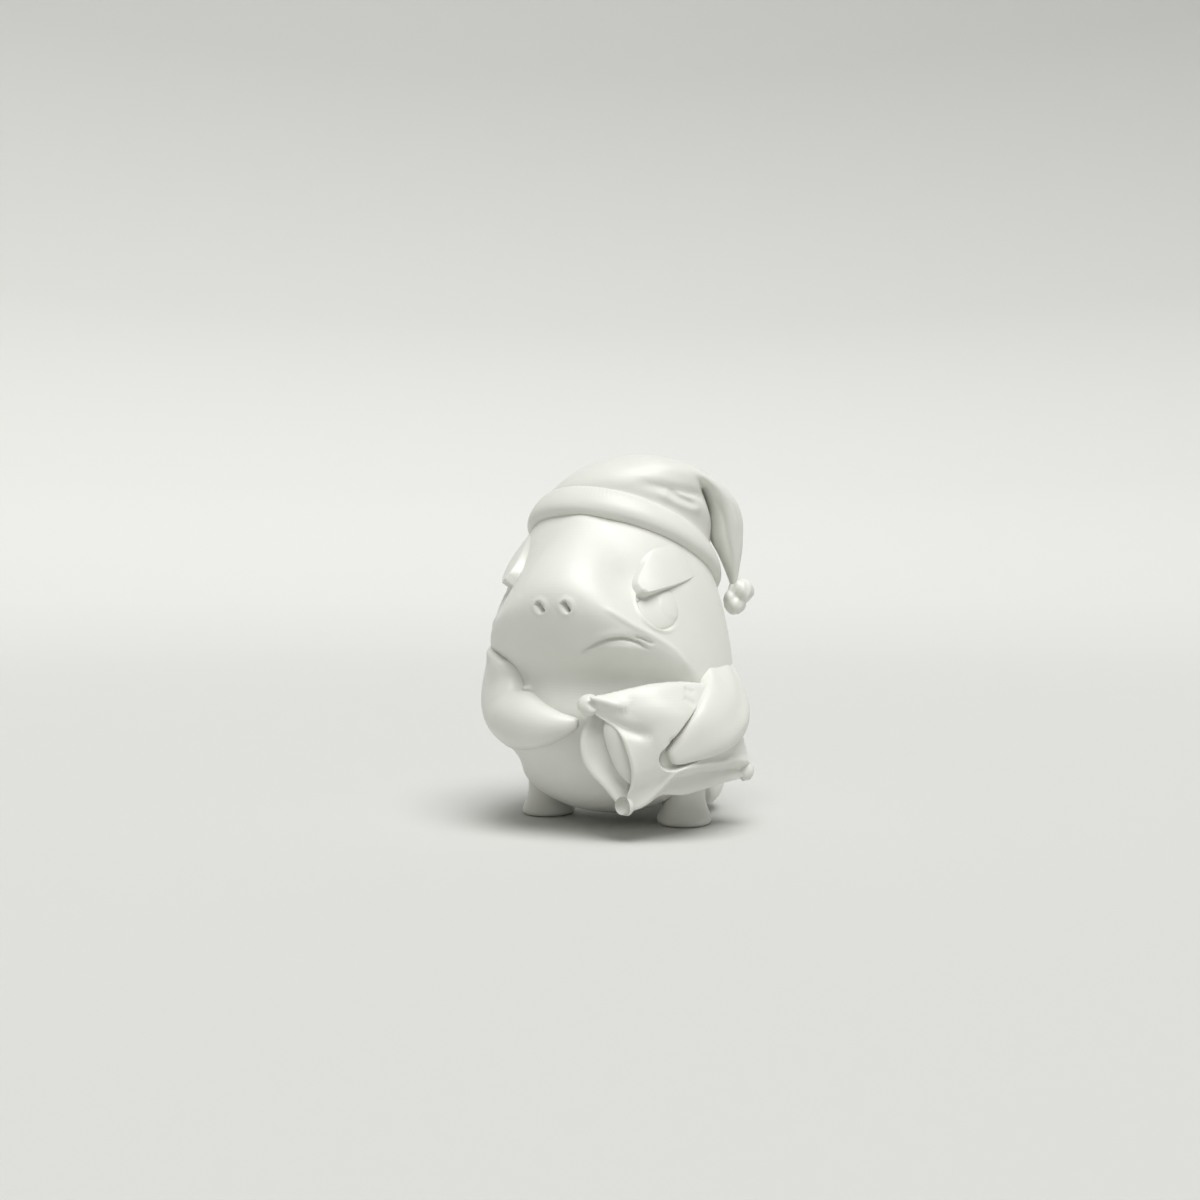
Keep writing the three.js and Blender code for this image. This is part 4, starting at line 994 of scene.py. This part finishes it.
def case_points(s, t, front):
    """Points of the case's outer face."""
    turn, height, radius = np.where(front[:, None], panel(FRONT_LIP, s, t), panel(BACK_LIP, s, t)).T
    chart = np.stack([turn * CHART, height], -1)
    seam = seam_share(t)
    swell = seam * np.sqrt(clamp(1.0 - s ** 2)) * smooth(s, 0.0, SWELL_RUN)
    below = np.interp(turn, *np.array(FLANGE).T) - height
    flange = FLANGE_RISE * hump(below, *FLANGE_BEAD) - smooth(below, 0.0, FLANGE_STEP)
    outer = radius + size("case_puff") * swell + seam * flange * smooth(s, 0.0, FLANGE_RUN)
    for places, width, rise in CASE_PASSES:
        outer += rise * stroke(chart, route(places, FOLD_STEPS) * [CHART, 1.0], width, CASE_FADE)
    for pit in PITS:
        outer -= PIT_DEPTH * hump(gap_to(chart, np.array(pit) * [CHART, 1.0]), 0.0, PIT_SIZE)
    wall = size("case_wall") / 2.0 * (1.0 - smooth(s, 0.0, WALL_RUN)) * seam
    outer = np.minimum(outer, arm_limit(chart)) + wall
    inner = radius - BACK_HOLLOW * smooth(1.0 - t, 0.0, BACK_LOW) * smooth(s, 0.0, BACK_RUN) - wall
    sag = BACK_SAG * np.sin(math.pi * clamp((1.0 - t) / BACK_LOW))
    height = np.where(front, height, height - sag)
    belly = egg_radius(np.radians(turn), np.maximum(height, size("body_base"))) + BELLY_GAP
    return spot(turn, height, np.where(front, outer, np.maximum(inner, belly)))


def case_lining(depth, t, front):
    """Places inside the mouth: the lining follows the panels and closes behind the pillow."""
    inset = 0.5 + (t - 0.5) * (1.0 - MOUTH_TAPER * depth)
    ahead, behind = (panel(lip, MOUTH_REACH * depth, inset) for lip in (FRONT_LIP, BACK_LIP))
    here = np.where(front[:, None], ahead, behind)
    bead = FAR_LIP_BEAD - FAR_LIP_FALL * smooth(depth, *FAR_LIP_RUN)
    half_wall = size("case_wall") / 2.0
    here[:, 2] += np.where(front, -half_wall, half_wall + bead) * seam_share(t)
    here += ((ahead + behind) / 2.0 - here) * (depth[:, None] ** 2)
    bottom = (panel(FRONT_LIP, *MOUTH_BOTTOM) + panel(BACK_LIP, *MOUTH_BOTTOM)) / 2.0
    return here + (bottom - here) * (smooth(depth, MOUTH_CLOSING, 1.0) ** MOUTH_ROUNDING)[:, None]


def add_lobe(bm):
    """Adds the rolled corner at the case's open end."""
    place = Matrix.Translation((AXIS + spot(*LOBE)) * MM) @ Matrix.Rotation(math.radians(LOBE[0]), 4, "Z")
    place = place @ Matrix.Diagonal((*(half * MM for half in LOBE_HALF), 1.0))
    bmesh.ops.create_uvsphere(bm, u_segments=64, v_segments=48, radius=1.0, matrix=place)


def case_piece():
    """The pillowcase: two puffed panels with pinched ears and an open end that shows its wall."""
    bm, angle, v = ball(around=280, up=260)
    front = angle < math.pi
    t = np.where(front, angle, 2.0 * math.pi - angle) / math.pi
    points = case_points(clamp(1.0 - v / CASE_LIP), t, front)
    depth = clamp((v - CASE_TURN_IN) / (1.0 - CASE_TURN_IN))
    turn, height, radius = case_lining(depth, t, front).T
    lining = spot(turn, height, radius)
    bend = math.pi * clamp((v - CASE_LIP) / (CASE_TURN_IN - CASE_LIP))
    edge = case_points(np.zeros_like(t), t, front)
    lip = (edge + lining) / 2.0 + (edge - lining) / 2.0 * np.cos(bend)[:, None]
    lip -= spot(turn + 90.0, 0.0, 1.0) * (LIP_ROUNDING * np.sin(bend) * seam_share(t))[:, None]
    points = np.where((v > CASE_LIP)[:, None], lip, points)
    points = np.where((v > CASE_TURN_IN)[:, None], lining, points)
    for place, roll, reach in EARS:
        ray = points - spot(*place)
        gap = np.linalg.norm(ray, axis=1)
        points += unit(ray) * ((roll - gap) * (1.0 - smooth(gap, roll, reach)))[:, None]
    move(bm, points)
    add_lobe(bm)
    points = np.array([vert.co for vert in bm.verts]) / MM - AXIS
    fold = stroke(points, spot(*route(LOBE_FOLD, LOBE_FOLD_STEPS).T), LOBE_FOLD_WIDTH, CASE_FADE)
    points -= level(points) * (LOBE_FOLD_DEPTH * fold)[:, None]
    for place, width in EAR_ENDS:
        hollow = EAR_END_DEPTH * hump(gap_to(points, spot(*place)), 0.0, width)
        points -= spot(place[0], 0.0, 1.0) * hollow[:, None]
    finish_piece("pillowcase_bag", bm, points, "pillowcase")


PILLOW_CENTRE = (32.5, 9.0, 14.3)
PILLOW_HALF = (2.6, 3.6, 0.8)  # along, up and through
PILLOW_SQUARENESS = 2.6
PILLOW_PLUMPNESS = 0.8  # exponent of its section
PILLOW_SKEW = 0.35  # slope of its ends
PILLOW_LEAN = 0.16  # slope of its faces


def pillow_piece():
    """The plump pillow that shows in the mouth of its case."""
    bm, angle, v = ball(around=96, up=80)
    girth = np.sin(math.pi * v) ** PILLOW_PLUMPNESS
    c, s = np.cos(angle), np.sin(angle)
    square = (np.abs(c) ** PILLOW_SQUARENESS + np.abs(s) ** PILLOW_SQUARENESS) ** (-1.0 / PILLOW_SQUARENESS)
    along = PILLOW_HALF[0] * girth * c * square
    up = PILLOW_HALF[1] * girth * s * square
    through = PILLOW_LEAN * up - PILLOW_HALF[2] * np.cos(math.pi * v)
    turn = math.radians(PILLOW_CENTRE[0]) + (along - PILLOW_SKEW * up) / PILLOW_CENTRE[2]
    points = polar(turn, PILLOW_CENTRE[2] + through, PILLOW_CENTRE[1] + up)
    finish_piece("pillow_inner", bm, points, "pillow")


class FigurineOperator:
    """What every step of the figurine shares"""

    bl_options = {"REGISTER", "UNDO"}


class FIGURINE_OT_body(FigurineOperator, bpy.types.Operator):
    """Sculpt the body with its snout and face"""

    bl_idname = "figurine.body"
    bl_label = "Sculpt Body"

    def execute(self, context):
        body_piece()
        return {"FINISHED"}


class FIGURINE_OT_eyes(FigurineOperator, bpy.types.Operator):
    """Set both eyes and their lids"""

    bl_idname = "figurine.eyes"
    bl_label = "Set Eyes"

    def execute(self, context):
        for name, side in SIDES.items():
            eye_piece(name, side)
            lid_piece(name, side)
        return {"FINISHED"}


class FIGURINE_OT_limbs(FigurineOperator, bpy.types.Operator):
    """Add the flippers, feet, tail and fin"""

    bl_idname = "figurine.limbs"
    bl_label = "Add Limbs"

    def execute(self, context):
        right_arm_piece()
        left_arm_piece()
        for name, side in SIDES.items():
            foot_piece(name, side)
        tail_piece()
        fin_piece()
        return {"FINISHED"}


class FIGURINE_OT_nightcap(FigurineOperator, bpy.types.Operator):
    """Put on the nightcap: cuff, crown and pompom"""

    bl_idname = "figurine.nightcap"
    bl_label = "Put On Nightcap"

    def execute(self, context):
        cuff_piece()
        crown_piece()
        pompom_piece()
        return {"FINISHED"}


class FIGURINE_OT_pillow(FigurineOperator, bpy.types.Operator):
    """Tuck the pillow in its case under the left flipper"""

    bl_idname = "figurine.pillow"
    bl_label = "Tuck In Pillow"

    def execute(self, context):
        case_piece()
        pillow_piece()
        return {"FINISHED"}


FLOOR_PROFILE = [(0.0, 0.0), (0.3, 0.0), (0.6, 0.0), (0.9, 0.03), (1.15, 0.14), (1.32, 0.36), (1.4, 0.7),
                 (1.42, 1.4)]  # distances from the middle and heights, in metres
FLOOR_STEPS = 96
FLOOR_ROUGHNESS = 0.9
CAMERA_SIDE = -1.29 * MM  # the camera stands this much to the right of the axis
CAMERA_PITCH = math.radians(0.239)
CAMERA_LENS = 36.0  # as long as the sensor is wide
CAMERA_NEAR = 5.0 * MM
KEY_SPREAD = math.radians(40.0)
KEY_FROM = (0.5, 0.15, 1.1)  # towards the camera, to its right and up


def floor_object():
    """A pale floor that sweeps up all round."""
    bm = bmesh.new()
    verts = [bm.verts.new((radius, 0.0, height)) for radius, height in FLOOR_PROFILE]
    for pair in zip(verts, verts[1:]):
        bm.edges.new(pair)
    spin(bm, FLOOR_STEPS)
    bmesh.ops.reverse_faces(bm, faces=[face for face in bm.faces if face.normal.z < 0.0])
    material = bpy.data.materials.new("Matt painted studio floor")
    material.use_nodes = True
    shader = material.node_tree.nodes["Principled BSDF"]
    shader.inputs["Base Color"].default_value = (*linear("#CECECB"), 1.0)
    shader.inputs["Roughness"].default_value = FLOOR_ROUGHNESS
    make_object("studio_floor", bm, material)


def key_light(strength, direction):
    """A broad soft light that falls along a direction."""
    lamp = bpy.data.lights.new("key_light", "SUN")
    lamp.energy = strength
    lamp.angle = KEY_SPREAD
    light = bpy.data.objects.new("key_light", lamp)
    light.rotation_euler = Vector(direction).to_track_quat("-Z", "Y").to_euler()
    bpy.context.scene.collection.objects.link(light)


class FIGURINE_OT_stage(FigurineOperator, bpy.types.Operator):
    """Lay the floor, light it and place the camera"""

    bl_idname = "figurine.stage"
    bl_label = "Set Stage"

    def execute(self, context):
        scene = context.scene
        stage = scene.figurine_stage
        floor_object()
        turn = stage.camera_turn
        back = Vector((math.sin(turn), -math.cos(turn), 0.0))
        right = Vector((math.cos(turn), math.sin(turn), 0.0))
        axis = Vector(AXIS) * MM
        camera = bpy.data.objects.new("camera", bpy.data.cameras.new("camera"))
        camera.data.lens = CAMERA_LENS
        camera.data.sensor_width = CAMERA_LENS
        camera.data.clip_start = CAMERA_NEAR
        camera.location = axis + back * stage.camera_distance + right * CAMERA_SIDE
        camera.location.z = stage.camera_height
        camera.rotation_euler = (math.pi / 2.0 + CAMERA_PITCH, 0.0, turn)
        scene.collection.objects.link(camera)
        scene.camera = camera
        ahead, aside, above = KEY_FROM
        key_light(stage.key_strength, -(back * ahead + right * aside + Vector((0.0, 0.0, above))))
        world = bpy.data.worlds.new("studio_sky")
        world.use_nodes = True
        sky = world.node_tree.nodes["Background"]
        sky.inputs["Color"].default_value = (*linear("#F2F4F3"), 1.0)
        sky.inputs["Strength"].default_value = stage.sky_strength
        scene.world = world
        scene.view_settings.view_transform = "Standard"
        return {"FINISHED"}


OPERATORS = (
    FIGURINE_OT_body,
    FIGURINE_OT_eyes,
    FIGURINE_OT_limbs,
    FIGURINE_OT_nightcap,
    FIGURINE_OT_pillow,
    FIGURINE_OT_stage,
)


class FIGURINE_PT_panel(bpy.types.Panel):
    """Sizes, finish and steps of the figurine"""

    bl_idname = "FIGURINE_PT_panel"
    bl_label = "Figurine"
    bl_space_type = "VIEW_3D"
    bl_region_type = "UI"
    bl_category = "Figurine"

    def draw(self, context):
        scene = context.scene
        for group in (scene.figurine_sizes, scene.figurine_finish, scene.figurine_stage):
            column = self.layout.column(align=True)
            for name in group.__annotations__:
                column.prop(group, name)
        for operator in OPERATORS:
            self.layout.operator(operator.bl_idname)


CLASSES = (FigurineSizes, FigurineFinish, FigurineStage, *OPERATORS, FIGURINE_PT_panel)


def register():
    for cls in CLASSES:
        bpy.utils.register_class(cls)
    bpy.types.Scene.figurine_sizes = PointerProperty(type=FigurineSizes)
    bpy.types.Scene.figurine_finish = PointerProperty(type=FigurineFinish)
    bpy.types.Scene.figurine_stage = PointerProperty(type=FigurineStage)


def unregister():
    del bpy.types.Scene.figurine_stage
    del bpy.types.Scene.figurine_finish
    del bpy.types.Scene.figurine_sizes
    for cls in reversed(CLASSES):
        bpy.utils.unregister_class(cls)


def main():
    register()
    bpy.ops.figurine.body()
    bpy.ops.figurine.eyes()
    bpy.ops.figurine.limbs()
    bpy.ops.figurine.nightcap()
    bpy.ops.figurine.pillow()
    bpy.ops.figurine.stage()


if __name__ == "__main__":
    main()
